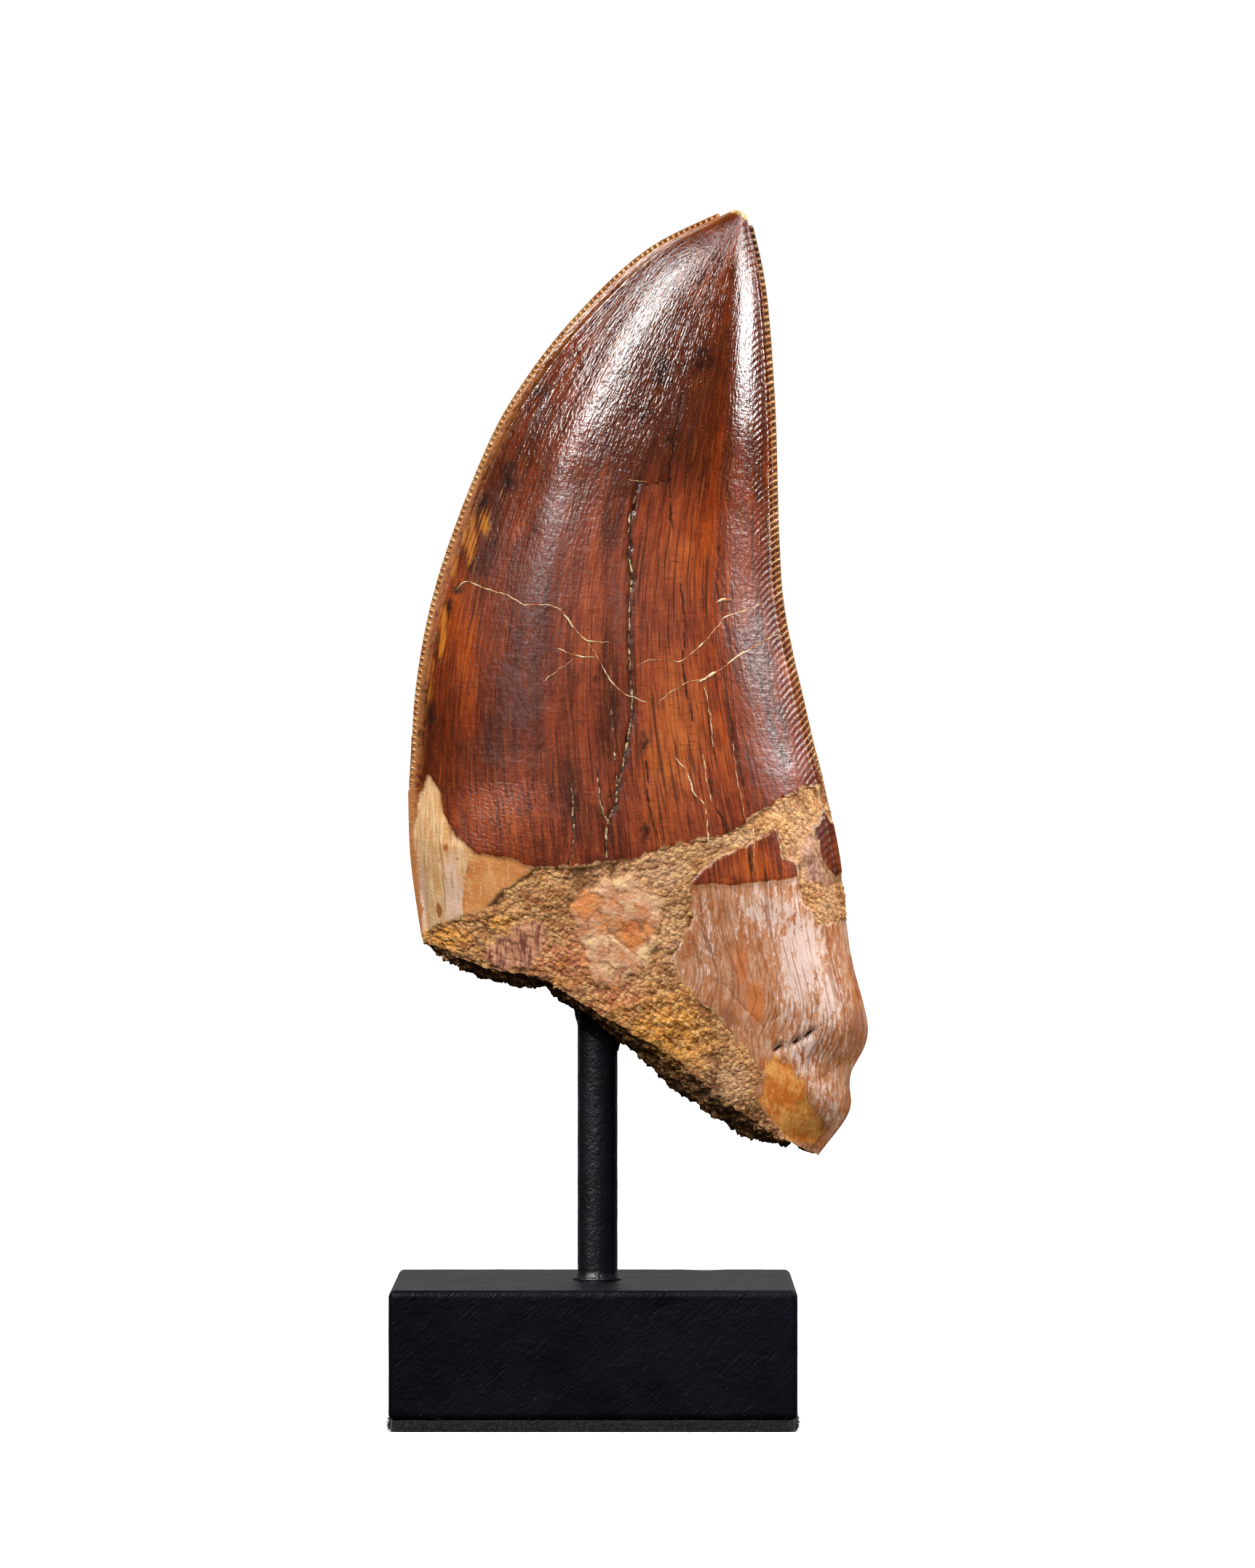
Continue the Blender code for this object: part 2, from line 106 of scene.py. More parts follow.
class Finish:
    """A material under way. Lengths in it are in mm."""

    def __init__(self, name, constants):
        self.material = bpy.data.materials.new(name)
        self.material.use_nodes = True
        self.tree = self.material.node_tree
        self.shader = self.tree.nodes["Principled BSDF"]
        place = self.node("TexCoord", output="Object")
        self.place = self.node("VectorMath", {"operation": "SCALE"}, {0: place, "Scale": 1000.0})
        for socket, value in constants.items():
            self.shader.inputs[socket].default_value = value

    def node(self, kind, settings=None, values=None, output=0):
        """Adds any node: its settings are set first, then its sockets."""
        node = self.tree.nodes.new("ShaderNode" + kind)
        for setting, value in (settings or {}).items():
            if setting == "stops":
                ramp = node.color_ramp
                while len(ramp.elements) < len(value):
                    ramp.elements.new(1.0)
                for element, (position, stop) in zip(ramp.elements, value):
                    element.position = position
                    element.color = stop
            else:
                setattr(node, setting, value)
        for socket, value in (values or {}).items():
            if isinstance(value, Shade):
                self.tree.links.new(value.socket, node.inputs[socket])
            else:
                node.inputs[socket].default_value = value
        return Shade(self, node.outputs[output])

    def feed(self, socket, value):
        self.tree.links.new(value.socket, self.shader.inputs[socket])

    def stretched(self, size, seed, place=None):
        """Coordinates in steps of size, which is in mm and may differ by axis."""
        sizes = size if isinstance(size, tuple) else (size, size, size)
        scaled = self.node("VectorMath", {"operation": "DIVIDE"}, {0: place or self.place, 1: sizes})
        return self.node("VectorMath", {"operation": "ADD"}, {0: scaled, 1: (seed, seed * 0.7, seed * 1.3)})

    def cloud(self, size, detail=2.0, seed=0.0, place=None, roughness=0.5):
        """Soft noise about 0.5."""
        return self.node("TexNoise", None, {"Vector": self.stretched(size, seed, place), "Scale": 1.0,
                                            "Detail": detail, "Roughness": roughness})

    def cells(self, size, seed=0.0, output="Distance"):
        """Distance within a packing of cells of about the given size, or each cell's own colour."""
        return self.node("TexVoronoi", None, {"Vector": self.stretched(size, seed), "Scale": 1.0}, output)

    def drawn(self, name):
        """A number that the mesh carries for each of its points."""
        return self.node("Attribute", {"attribute_name": name}, output="Fac")

    def blend(self, factor, first, second):
        """Two colours mixed."""
        return self.node("Mix", {"data_type": "RGBA"}, {"Factor": factor, 6: first, 7: second}, 2)

    def painted(self, under, *layers):
        """A colour with layers of (share, red, green, blue) over it, the last one on top."""
        for share, red, green, blue in layers:
            under = self.blend(share, under, colour(red, green, blue))
        return under

    def graded(self, shade, *stops):
        """A colour read off stops of (shade, red, green, blue)."""
        colours = [(stop, colour(red, green, blue)) for stop, red, green, blue in stops]
        return self.node("ValToRGB", {"stops": colours}, {"Fac": shade})

    def relief(self, height):
        """Feeds the surface's small relief, whose height is in mm."""
        self.feed("Normal", self.node("Bump", None, {"Height": height, "Distance": MM}))


def new_piece(bm, name, finish, smooth_below=None):
    """Ends a bmesh as an object that rides on the one body. smooth_below is in degrees."""
    bmesh.ops.recalc_face_normals(bm, faces=bm.faces)
    mesh = bpy.data.meshes.new(name)
    bm.to_mesh(mesh)
    bm.free()
    mesh.shade_smooth()
    if smooth_below:
        mesh.set_sharp_from_angle(angle=math.radians(smooth_below))
    mesh.materials.append(finish.material)
    piece = bpy.data.objects.new(name, mesh)
    bpy.context.scene.collection.objects.link(piece)
    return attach(piece, "root")


def block(side, bottom, top, edges, radius, segments, cell):
    """Square block about the Z axis, rounded and then sliced into cells; edges is all or upright."""
    bm = bmesh.new()
    bmesh.ops.create_cube(bm, size=1.0)
    bmesh.ops.scale(bm, verts=bm.verts, vec=(side, side, top - bottom))
    bmesh.ops.translate(bm, verts=bm.verts, vec=(0.0, 0.0, (top + bottom) / 2))
    rounded = bm.edges[:]
    if edges == "upright":
        rounded = [edge for edge in rounded if abs(edge.verts[0].co.z - edge.verts[1].co.z) > radius]
    bmesh.ops.bevel(bm, geom=rounded, offset=radius, segments=segments, profile=0.5,
                    affect="EDGES", material=-1)
    centre = Vector((0.0, 0.0, (top + bottom) / 2))
    for axis, reach in ((0, side / 2), (1, side / 2), (2, (top - bottom) / 2)):
        normal = Vector([1.0 if axis == i else 0.0 for i in range(3)])
        steps = int(reach / cell)
        for step in range(-steps, steps + 1):
            bmesh.ops.bisect_plane(bm, geom=bm.verts[:] + bm.edges[:] + bm.faces[:],
                                   plane_co=centre + normal * step * cell, plane_no=normal)
    return bm


def strands(name, finish, courses, radius):
    """Fine hairs along courses of a few points, thinning towards both ends."""
    curve = bpy.data.curves.new(name, "CURVE")
    curve.dimensions = "3D"
    curve.bevel_depth = radius
    curve.bevel_resolution = 0
    for course in courses:
        spline = curve.splines.new("POLY")
        spline.points.add(len(course) - 1)
        for point, place in zip(spline.points, course):
            point.co = (*place, 1.0)
        spline.points[0].radius = 0.6
        spline.points[-1].radius = 0.3
    hairs = bpy.data.objects.new(name + "_course", curve)
    bpy.context.scene.collection.objects.link(hairs)
    depsgraph = bpy.context.evaluated_depsgraph_get()
    mesh = bpy.data.meshes.new_from_object(hairs.evaluated_get(depsgraph))
    bpy.data.objects.remove(hairs)
    bm = bmesh.new()
    bm.from_mesh(mesh)
    bpy.data.meshes.remove(mesh)
    return new_piece(bm, name, finish)


def felt_edge(random):
    """A random place on the pad's cut edge, and the direction out of it."""
    half = FELT_SIDE / 2
    along = random.uniform(-half + FELT_CORNER_RADIUS, half - FELT_CORNER_RADIUS)
    turn = Matrix.Rotation(math.pi / 2 * random.integers(4), 3, "Z")
    return turn @ Vector((half - 0.06, along, 0.0)), turn @ Vector((1.0, 0.0, 0.0))


def fibre_courses(count, lengths, heights, lift, seed):
    """Courses of loose fibres that curl out of the edge of the felt."""
    random = np.random.default_rng(seed)
    courses = []
    for _ in range(count):
        root, out = felt_edge(random)
        root.z = random.uniform(*heights)
        length = random.uniform(*lengths)
        heading = out + Vector(random.normal(0.0, 0.8, 3)) + Vector((0.0, 0.0, lift))
        curl = Vector(random.normal(0.0, 0.7, 3))
        course = [root]
        for _ in range(3):
            heading = (heading + curl * 0.5).normalized()
            step = course[-1] + heading * length / 3
            step.z = min(max(step.z, FIBRE_RADIUS), FELT_THICKNESS + FIBRE_RISE)
            course.append(step)
        courses.append([place * MM for place in course])
    return courses


felt = Finish("black_felt", {"Roughness": 1.0, "Sheen Weight": 0.15, "Sheen Roughness": 0.6})
tufts = felt.cloud(0.35, 3.0)
felt.feed("Base Color", felt.blend(tufts.between(0.35, 0.75), colour(7, 7, 8), colour(30, 30, 32)))
felt.relief(tufts * 0.25 + felt.cloud((0.08, 0.08, 0.3), 2.0, 3.0) * 0.08)

pad_mesh = block(FELT_SIDE * MM, 0.0, FELT_THICKNESS * MM, "upright", FELT_CORNER_RADIUS * MM, 4,
                 FELT_CELL * MM)
for vert in pad_mesh.verts:
    outward = Vector((vert.co.x, vert.co.y, 0.0)).normalized()
    if max(abs(vert.co.x), abs(vert.co.y)) > (FELT_SIDE / 2 - 0.2) * MM:
        vert.co += outward * FELT_LUMP * MM * (noise.noise(vert.co / (0.8 * MM)) - 0.6)
pad = new_piece(pad_mesh, "felt_sheet", felt, 40)
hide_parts("felt_pad")

fur_courses = fibre_courses(FIBRE_COUNT, FIBRE_LENGTHS, (0.05, FELT_THICKNESS), 0.0, 5)
fur = strands("felt_fur", felt, fur_courses, FIBRE_RADIUS * MM)

lint = Finish("pale_lint", {"Roughness": 0.9})
lint.feed("Base Color", lint.blend(lint.cloud(1.5), colour(60, 60, 62), colour(118, 118, 120)))
lint_courses = fibre_courses(LINT_COUNT, LINT_LENGTHS, (FELT_THICKNESS - 0.1, FELT_THICKNESS), LINT_LIFT, 8)
fluff = strands("felt_lint", lint, lint_courses, LINT_RADIUS * MM)


# The block
# A sawn square of steel bar with its edges eased, brushed on the slant and then powder
# coated satin black. The coat follows the brushing and the small dents.

BASE_SIDE = 31.75
BASE_BOTTOM = 0.9
BASE_TOP = 11.0
BASE_EDGE_RADIUS = 0.55
BASE_CELL = 0.4
BRUSHING_ANGLE = math.radians(42)
COAT_WAVE = 0.03
COAT_RIPPLE = 0.02
# Small dents as X, Y, Z, reach and depth
DENTS = [(5.75, -15.9, 9.9, 0.9, 0.10), (6.5, -15.9, 7.7, 0.7, 0.05), (-9.0, -15.9, 5.0, 1.2, 0.03),
         (11.0, -15.9, 3.2, 1.0, 0.03), (-15.9, 4.0, 11.0, 0.8, 0.12), (9.0, 15.9, 11.0, 0.9, 0.12)]


def powder_coat(name, grain, mirror, brushed):
    """Satin black powder coat: pebbled, a little dusty, and streaked where it was brushed first."""
    coat = Finish(name, {"Specular IOR Level": mirror})
    pebbles = coat.cloud(grain, 3.0, 2.0)
    cloudy = coat.cloud(4.0, 2.0, 5.0)
    dust = coat.cells(0.9, 4.0).between(0.07, 0.03) * coat.cloud(3.0, 1.0, 9.0).between(0.48, 0.6)
    black = coat.blend(cloudy.between(0.3, 0.7), colour(8, 9, 14), colour(13, 14, 21))
    coat.feed("Base Color", coat.blend(dust * 0.5, black, colour(110, 112, 116)))
    coat.feed("Roughness", pebbles * 0.2 + cloudy * 0.12 + 0.26 + dust * 0.3)
    height = pebbles * 0.06 + coat.cloud(grain * 3, 1.0, 7.0) * 0.05
    if brushed:
        slanted = coat.node("VectorRotate", {"rotation_type": "Y_AXIS"},
                            {"Vector": coat.place, "Angle": BRUSHING_ANGLE})
        height = height + coat.cloud((5.0, 0.5, 0.14), 2.0, 1.0, slanted) * 0.05
    coat.relief(height)
    return coat


base_coat = powder_coat("satin_powder_coat", 0.24, 0.14, True)
base_mesh = block(BASE_SIDE * MM, BASE_BOTTOM * MM, BASE_TOP * MM, "all", BASE_EDGE_RADIUS * MM, 5,
                  BASE_CELL * MM)
base_mesh.normal_update()
for vert, normal in [(vert, vert.normal.copy()) for vert in base_mesh.verts]:
    sink = COAT_WAVE * (0.5 + 0.5 * noise.noise(vert.co / (2.2 * MM)))
    sink += COAT_RIPPLE * (0.5 + 0.5 * noise.noise(vert.co / (0.7 * MM)))
    for x, y, z, reach, depth in DENTS:
        away = (vert.co / MM - Vector((x, y, z))).length / reach
        sink += depth * math.exp(-away * away)
    vert.co -= normal * sink * MM
base = new_piece(base_mesh, "steel_block", base_coat)
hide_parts("stand_base")


# The rod
# A round steel rod let into the block, with a small fillet of paint at its foot. It goes
# up into a hole in the sandstone, where a ragged collar of black glue holds it.

ROD_X = 0.3
ROD_RADIUS = 1.6
ROD_FOOT_RADIUS = 1.95
ROD_FOOT_HEIGHT = 0.6
ROD_TOP = 38.6
ROD_STEPS = 72
ROD_ROWS = 150
PEBBLE_HEIGHT = 0.012
ROD_WAVE = 0.015
FOOT_LUMP = 0.09
# The collar of glue as (radius, Z), and how its rim follows the slope of the stone
GLUE_PROFILE = [(1.4, 30.0), (1.66, 30.1), (1.74, 30.5), (1.86, 31.1), (2.05, 31.8), (2.0, 33.6), (1.4, 33.8)]
STONE_SLOPE = -0.62
GLUE_LUMP = 0.16


def turned(profile, steps):
    """Closed round mesh from (radius, Z) points in mm, bottom to top, about the rod's axis."""
    axis = Vector((ROD_X * MM, 0.0, 0.0))
    bm = bmesh.new()
    points = [bm.verts.new((ROD_X * MM + radius * MM, 0.0, height * MM)) for radius, height in profile]
    lines = [bm.edges.new(pair) for pair in zip(points, points[1:])]
    bmesh.ops.spin(bm, geom=points + lines, cent=axis, axis=(0.0, 0.0, 1.0), angle=math.tau,
                   steps=steps, use_merge=True)
    bmesh.ops.remove_doubles(bm, verts=bm.verts, dist=0.5e-6)
    return bm


rod_coat = powder_coat("pebbled_black_coat", 0.2, 1.0, False)
foot_z = BASE_TOP - 0.02
rod_profile = [(0.0, foot_z), (ROD_FOOT_RADIUS, foot_z), (ROD_FOOT_RADIUS - 0.04, BASE_TOP + 0.1),
               (ROD_FOOT_RADIUS - 0.2, BASE_TOP + 0.22), (ROD_RADIUS + 0.06, BASE_TOP + 0.4),
               (ROD_RADIUS, BASE_TOP + ROD_FOOT_HEIGHT)]
shaft_foot = BASE_TOP + ROD_FOOT_HEIGHT
for row in range(1, ROD_ROWS + 1):
    rod_profile.append((ROD_RADIUS, shaft_foot + (ROD_TOP - shaft_foot) * row / ROD_ROWS))
rod_profile.append((0.0, ROD_TOP))
rod_mesh = turned(rod_profile, ROD_STEPS)
for vert in rod_mesh.verts:
    outward = Vector((vert.co.x - ROD_X * MM, vert.co.y, 0.0))
    if outward.length > 1.0 * MM and vert.co.z > (BASE_TOP + 0.05) * MM:
        pebble = noise.noise(vert.co / (0.3 * MM)) * PEBBLE_HEIGHT
        pebble += noise.noise(vert.co / (1.5 * MM)) * ROD_WAVE
        foot = max(0.0, 1.0 - (vert.co.z / MM - BASE_TOP) / 1.2)
        pebble += foot * noise.noise(vert.co / (0.9 * MM)) * FOOT_LUMP
        vert.co += outward.normalized() * (pebble - 0.01) * MM
rod = new_piece(rod_mesh, "steel_rod", rod_coat)
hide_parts("stand_rod")

glue_finish = Finish("black_glue", {"Roughness": 0.35})
glue_tones = glue_finish.blend(glue_finish.cloud(0.6), colour(9, 9, 10), colour(24, 22, 20))
glue_finish.feed("Base Color", glue_tones)
glue_finish.relief(glue_finish.cloud(0.3, 3.0) * 0.12)
glue_mesh = turned(GLUE_PROFILE + GLUE_PROFILE[:1], 48)
bmesh.ops.subdivide_edges(glue_mesh, edges=glue_mesh.edges, cuts=1, use_grid_fill=True)
for vert in glue_mesh.verts:
    outward = Vector((vert.co.x - ROD_X * MM, vert.co.y, 0.0))
    vert.co.z += outward.x * STONE_SLOPE
    vert.co += outward.normalized() * noise.noise(vert.co / (0.9 * MM)) * GLUE_LUMP * MM
glue = new_piece(glue_mesh, "glue_collar", glue_finish)


# The sandstone
# The rock that filled the broken root before the tooth was dug up. It is one lump of
# cemented ochre sand with a mosaic of bone chips in it, lying flush with the tooth.

# The tooth's form, from the tip down: its two edges, crown first and then root, its
# broken end, and how its thickness, ridge and lean go with the station, which is 0 at
# the tip, 1 at the foot of the enamel and 2 at the break
MESIAL_CROWN = [(10.7, 95.9), (4.2, 92.6), (-1.3, 87.5), (-5.5, 82.2), (-8.6, 76.7), (-12.3, 66.8),
                (-14.1, 58.5), (-14.7, 50.3)]
DISTAL_CROWN = [(12.5, 95.1), (13.7, 89.2), (14.4, 80.0), (14.7, 70.0), (15.2, 63.6), (17.1, 55.0),
                (18.2, 50.8)]
MESIAL_ROOT = [(-14.7, 50.3), (-14.5, 44.3), (-13.6, 37.8)]
DISTAL_ROOT = [(18.2, 50.8), (19.5, 44.3), (20.4, 36.9), (21.8, 30.7), (20.4, 27.1), (20.3, 24.2),
               (17.8, 20.7)]
BROKEN_END = [(-13.6, 37.8), (-10.1, 36.2), (-7.2, 35.4), (-4.5, 35.0), (-2.1, 33.6), (2.4, 30.9),
              (7.2, 27.8), (11.4, 24.4), (14.7, 22.3), (17.8, 20.7)]
HALF_THICKNESS = [(0.0, 0.9), (0.08, 1.7), (0.25, 3.2), (0.5, 4.75), (0.75, 5.7), (1.0, 6.2), (1.5, 6.3),
                  (2.0, 5.9)]
RIDGE = [(0.0, 0.66), (0.25, 0.71), (0.5, 0.66), (0.75, 0.58), (1.0, 0.54), (2.0, 0.58)]
MESIAL_FALL = [(0.0, 2.0), (0.5, 2.2), (1.0, 2.7), (2.0, 2.8)]
DISTAL_FALL = [(0.0, 2.0), (0.5, 2.6), (1.0, 3.3), (2.0, 3.2)]
LEAN = [(0.0, 1.5), (0.25, 0.8), (0.5, 0.3), (0.75, 0.0), (2.0, 0.0)]
KEEL_HALF_THICKNESS = 0.24
KEEL_ROOT_HALF_THICKNESS = 0.4
KEEL_REACH = 0.8
KEEL_WIDTH = 0.5
HOLLOW_SHARE = 0.07
MIDDLE_LINE_STOP = 0.08
LINE_STEPS = 16

# The stone's outline from the front as (X, Z), and how far back it goes, as Y
STONE_OUTLINE = [
    (-16.5, 38.6, 0.4), (-13.6, 38.3, 0.4), (-11.6, 39.3, 0.8), (-8.4, 40.4, 1.6), (-7.2, 41.6, 2.0),
    (-4.4, 43.6, 2.4), (-0.5, 43.7, 2.6), (3.1, 44.2, 2.6), (7.1, 45.6, -3.6), (10.6, 46.1, -3.7),
    (13.4, 48.2, -3.0), (16.3, 49.7, -0.6), (20.4, 50.8, 2.4), (22.6, 49.0, 2.8), (22.6, 39.8, 2.8),
    (19.9, 39.6, 1.6), (18.1, 39.1, -0.4), (16.6, 40.9, -1.8), (16.1, 43.9, -2.4), (14.9, 44.8, -3.0),
    (14.4, 46.9, -3.2), (12.0, 45.4, -3.8), (9.1, 44.1, -3.6), (7.5, 42.4, 1.8), (7.7, 39.3, 2.4),
    (6.0, 36.6, 2.6), (7.1, 34.2, 2.4), (9.1, 32.4, 2.2), (12.0, 29.3, 1.8), (13.2, 27.4, 1.4),
    (12.7, 25.6, 1.2), (15.0, 22.4, 0.6), (15.6, 17.0, 0.6), (2.0, 20.0, 2.4), (-16.5, 32.0, 0.4)]
STONE_TOP_STATION = 0.93
# How far the underside of the stone sags below the break, by X
UNDERSIDE_SAG = [(-14.0, 0.2), (-10.0, 0.8), (-7.2, 0.9), (-4.6, 0.9), (-3.6, 0.3), (-2.1, 0.7), (2.4, 1.2),
                 (7.1, 2.4), (11.4, 1.7), (14.7, 0.7), (17.8, 0.1)]
STONE_FRONT_COLUMNS = 210
STONE_BACK_COLUMNS = 44
STONE_ROWS = 190
STONE_END_ROWS = 34
# The stone's face against the tooth's form in mm, where it shows and where it hides, how
# ragged its outline is, and how much of the half thickness it may lie below
STONE_LEVEL = -0.16
STONE_HIDDEN = -1.1
RAGGED = 0.24
STONE_DEEPEST_SHARE = 0.75
CHIP_SIZE = 1.9

# Bone chips lying in the face of the stone
CHIP_MOSAIC = [(-1.8, 40.3), (-0.9, 41.9), (0.8, 42.9), (2.6, 43.1), (4.5, 42.3), (5.5, 40.9), (5.1, 38.0),
               (4.3, 35.7), (2.0, 33.9), (-0.1, 34.3), (-0.9, 36.3), (-1.5, 38.3)]
PINK_CHIP = [(-8.6, 37.4), (-7.2, 38.3), (-5.8, 39.3), (-4.4, 39.6), (-3.5, 38.6), (-4.1, 36.9),
             (-5.2, 35.7), (-7.2, 35.4), (-8.5, 36.2)]
MAUVE_CHIP = [(16.2, 44.6), (17.2, 47.2), (18.4, 47.8), (19.2, 45.2), (19.6, 42.9), (18.6, 42.0),
              (16.8, 42.6)]

# Tints of the sand: X, Z, half width, half height and strength
ROSY_AREAS = [(-1.5, 36.5, 4.5, 3.0, 1.0), (1.5, 33.5, 3.0, 2.5, 0.9), (-5.0, 37.5, 3.0, 2.5, 0.5),
              (18.0, 43.5, 1.6, 3.5, 0.6)]
OCHRE_AREAS = [(6.0, 30.5, 3.8, 3.6, 1.0), (-11.5, 38.0, 2.6, 1.3, 0.9), (-7.5, 39.4, 1.4, 0.7, 0.9),
               (2.0, 32.0, 3.0, 1.6, 0.6), (-3.0, 34.6, 1.8, 1.0, 0.6), (16.5, 39.8, 1.0, 1.5, 0.4)]
PALE_AREAS = [(4.0, 42.6, 5.0, 1.6, 0.8), (11.5, 45.2, 4.5, 1.4, 0.8), (16.8, 45.5, 1.8, 3.4, 0.9),
              (6.2, 38.0, 1.6, 4.0, 0.7), (18.6, 41.0, 1.2, 2.4, 0.7), (10.6, 26.6, 1.8, 2.2, 1.0),
              (5.5, 43.5, 2.6, 2.4, 0.9), (10.8, 45.9, 3.5, 1.0, 0.9),
              (0.0, 43.2, 2.5, 0.7, 0.6), (6.5, 38.5, 1.2, 4.0, 0.7), (15.5, 48.4, 2.4, 1.2, 0.6)]


def eased(stops, station):
    """Values at the stations, read off a smooth curve through (station, value) stops."""
    places, values = np.array(stops).T
    slopes = np.gradient(values, places)
    index = np.clip(np.searchsorted(places, station, side="right") - 1, 0, len(places) - 2)
    span = places[index + 1] - places[index]
    s = (station - places[index]) / span
    start = values[index] * (1 + 2 * s) + slopes[index] * span * s
    end = values[index + 1] * (3 - 2 * s) - slopes[index + 1] * span * (1 - s)
    return start * (1 - s) ** 2 + end * s ** 2


def smooth_line(points):
    """Function giving (X, Z) at fractions of the length of a smooth line through points."""
    through = np.array(points, float)
    ends = np.vstack([2 * through[0] - through[1], through, 2 * through[-1] - through[-2]])
    fine = []
    for a, b, c, d in zip(ends, ends[1:], ends[2:], ends[3:]):
        for s in np.arange(LINE_STEPS) / LINE_STEPS:
            fine.append(b + (c - a) * (s / 2) + (2 * a - 5 * b + 4 * c - d) * (s * s / 2)
                        + (3 * b - a - 3 * c + d) * (s ** 3 / 2))
    fine = np.array(fine + [through[-1]])
    reach = np.concatenate([[0.0], np.cumsum(np.linalg.norm(np.diff(fine, axis=0), axis=1))])

    def at(fraction):
        return np.stack([np.interp(fraction * reach[-1], reach, fine[:, axis]) for axis in (0, 1)], -1)

    at.length = reach[-1]
    return at


mesial_crown = smooth_line(MESIAL_CROWN)
distal_crown = smooth_line(DISTAL_CROWN)
mesial_root = smooth_line(MESIAL_ROOT)
distal_root = smooth_line(DISTAL_ROOT)
broken_end = smooth_line(BROKEN_END)


def ramp(value, low, high):
    """Soft step from 0 at low to 1 at high."""
    s = np.clip((value - low) / (high - low), 0.0, 1.0)
    return s * s * (3.0 - 2.0 * s)


def edge_at(rim, station):
    """(X, Z) of the mesial edge, where rim is -1, or the distal edge, at the stations."""
    station = np.asarray(station, float)
    crown, root = (mesial_crown, mesial_root) if rim < 0 else (distal_crown, distal_root)
    in_crown = (station <= 1.0)[..., None]
    return np.where(in_crown, crown(np.minimum(station, 1.0)), root(np.maximum(station - 1.0, 0.0)))


def front_view(u, station):
    """(X, Z) at fractions u of the width: straight rows in the crown, bending to the break."""
    u = np.asarray(u, float)
    share = u[..., None]
    straight = edge_at(-1, station) * (1 - share) + edge_at(1, station) * share
    chord = broken_end(0.0) * (1 - share) + broken_end(1.0) * share
    bend = np.maximum(station - 1.0, 0.0)[..., None] ** 2
    return straight + (broken_end(u) - chord) * bend


def half_thickness(u, station):
    """Half the tooth's thickness in mm at fractions u of the width."""
    width = np.linalg.norm(edge_at(1, station) - edge_at(-1, station), axis=-1)
    keel = KEEL_WIDTH / width
    inside = np.clip((u - keel) / (1.0 - 2.0 * keel), 0.0, 1.0)
    ridge = eased(RIDGE, station)
    mesial_side = inside < ridge
    rise = np.where(mesial_side, inside / ridge, (1.0 - inside) / (1.0 - ridge))
    fall = np.where(mesial_side, eased(MESIAL_FALL, station), eased(DISTAL_FALL, station))
    flank = 1.0 - (1.0 - rise) ** fall
    roundness = 1.0 - 0.4 * np.clip((station - 0.95) / 0.4, 0.0, 1.0)
    hollow = HOLLOW_SHARE * np.exp(-((u - 0.55) / 0.16) ** 2) * np.clip((station - 0.45) * 2.0, 0.0, 1.0)
    body = eased(HALF_THICKNESS, station) * flank ** roundness * (1.0 - hollow)
    from_edge = np.minimum(u, 1.0 - u) * width
    edge = KEEL_HALF_THICKNESS
    edge = edge + (KEEL_ROOT_HALF_THICKNESS - edge) * np.minimum(from_edge / KEEL_REACH, 1.0)
    return np.maximum(body, edge)


def on_tooth(u, station, side, inward):
    """Points of the surface in mm. side is -1 in front and 1 behind; inward goes from 0 on the
    surface to 1 on the middle line, which closes the ends and stops short of both edges."""
    flat = front_view(u + (0.5 - u) * MIDDLE_LINE_STOP * inward, station)
    half = half_thickness(u, station) * (1.0 - inward)
    return np.stack([flat[..., 0], eased(LEAN, station) + side * half, flat[..., 1]], -1)


def read(mesh, name, kind="value", width=1):
    """A mesh's point attribute, or its places or normals, as an array."""
    source = mesh.vertices if name == "co" else mesh.vertex_normals if name == "normal" else None
    if source is None:
        source = mesh.attributes[name].data
    found = np.zeros(len(mesh.vertices) * width, np.float32)
    source.foreach_get(kind, found)
    return found.reshape(-1, width).astype(float).squeeze()


def places_of(mesh):
    return read(mesh, "co", "co", 3) / MM


def normals_of(mesh):
    return read(mesh, "normal", "vector", 3)


def set_places(mesh, places):
    mesh.vertices.foreach_set("co", (places * MM).astype(np.float32).ravel())
    mesh.update()


def draw(mesh, **numbers):
    """Gives the mesh's points numbers that its finish reads."""
    for name, values in numbers.items():
        layer = mesh.attributes.get(name) or mesh.attributes.new(name, "FLOAT", "POINT")
        layer.data.foreach_set("value", np.asarray(values, np.float32))


def skin(name, front_columns, back_columns, rows, place):
    """Mesh from a grid rolled round the tooth and welded; place(u, side, row) gives its points in mm."""
    around = front_columns + back_columns + 2
    bm = bmesh.new()
    bmesh.ops.create_grid(bm, x_segments=around, y_segments=rows, size=0.5)
    mesh = bpy.data.meshes.new(name)
    bm.to_mesh(mesh)
    grid = read(mesh, "co", "co", 3)
    turn = np.rint((grid[:, 0] + 0.5) * around) % around
    row = np.rint((grid[:, 1] + 0.5) * rows)
    front = turn <= front_columns
    even = np.where(front, turn / front_columns, (around - 1 - turn) / back_columns)
    u = 0.35 * even + 0.65 * (0.5 - 0.5 * np.cos(np.pi * even))
    side = np.where(front, -1.0, 1.0)
    set_places(mesh, place(u, side, row))
    draw(mesh, across=u, side=side, row=row)
    bm.clear()
    bm.from_mesh(mesh)
    bmesh.ops.remove_doubles(bm, verts=bm.verts, dist=0.2e-6)
    bmesh.ops.recalc_face_normals(bm, faces=bm.faces)
    bm.to_mesh(mesh)
    bm.free()
    return mesh


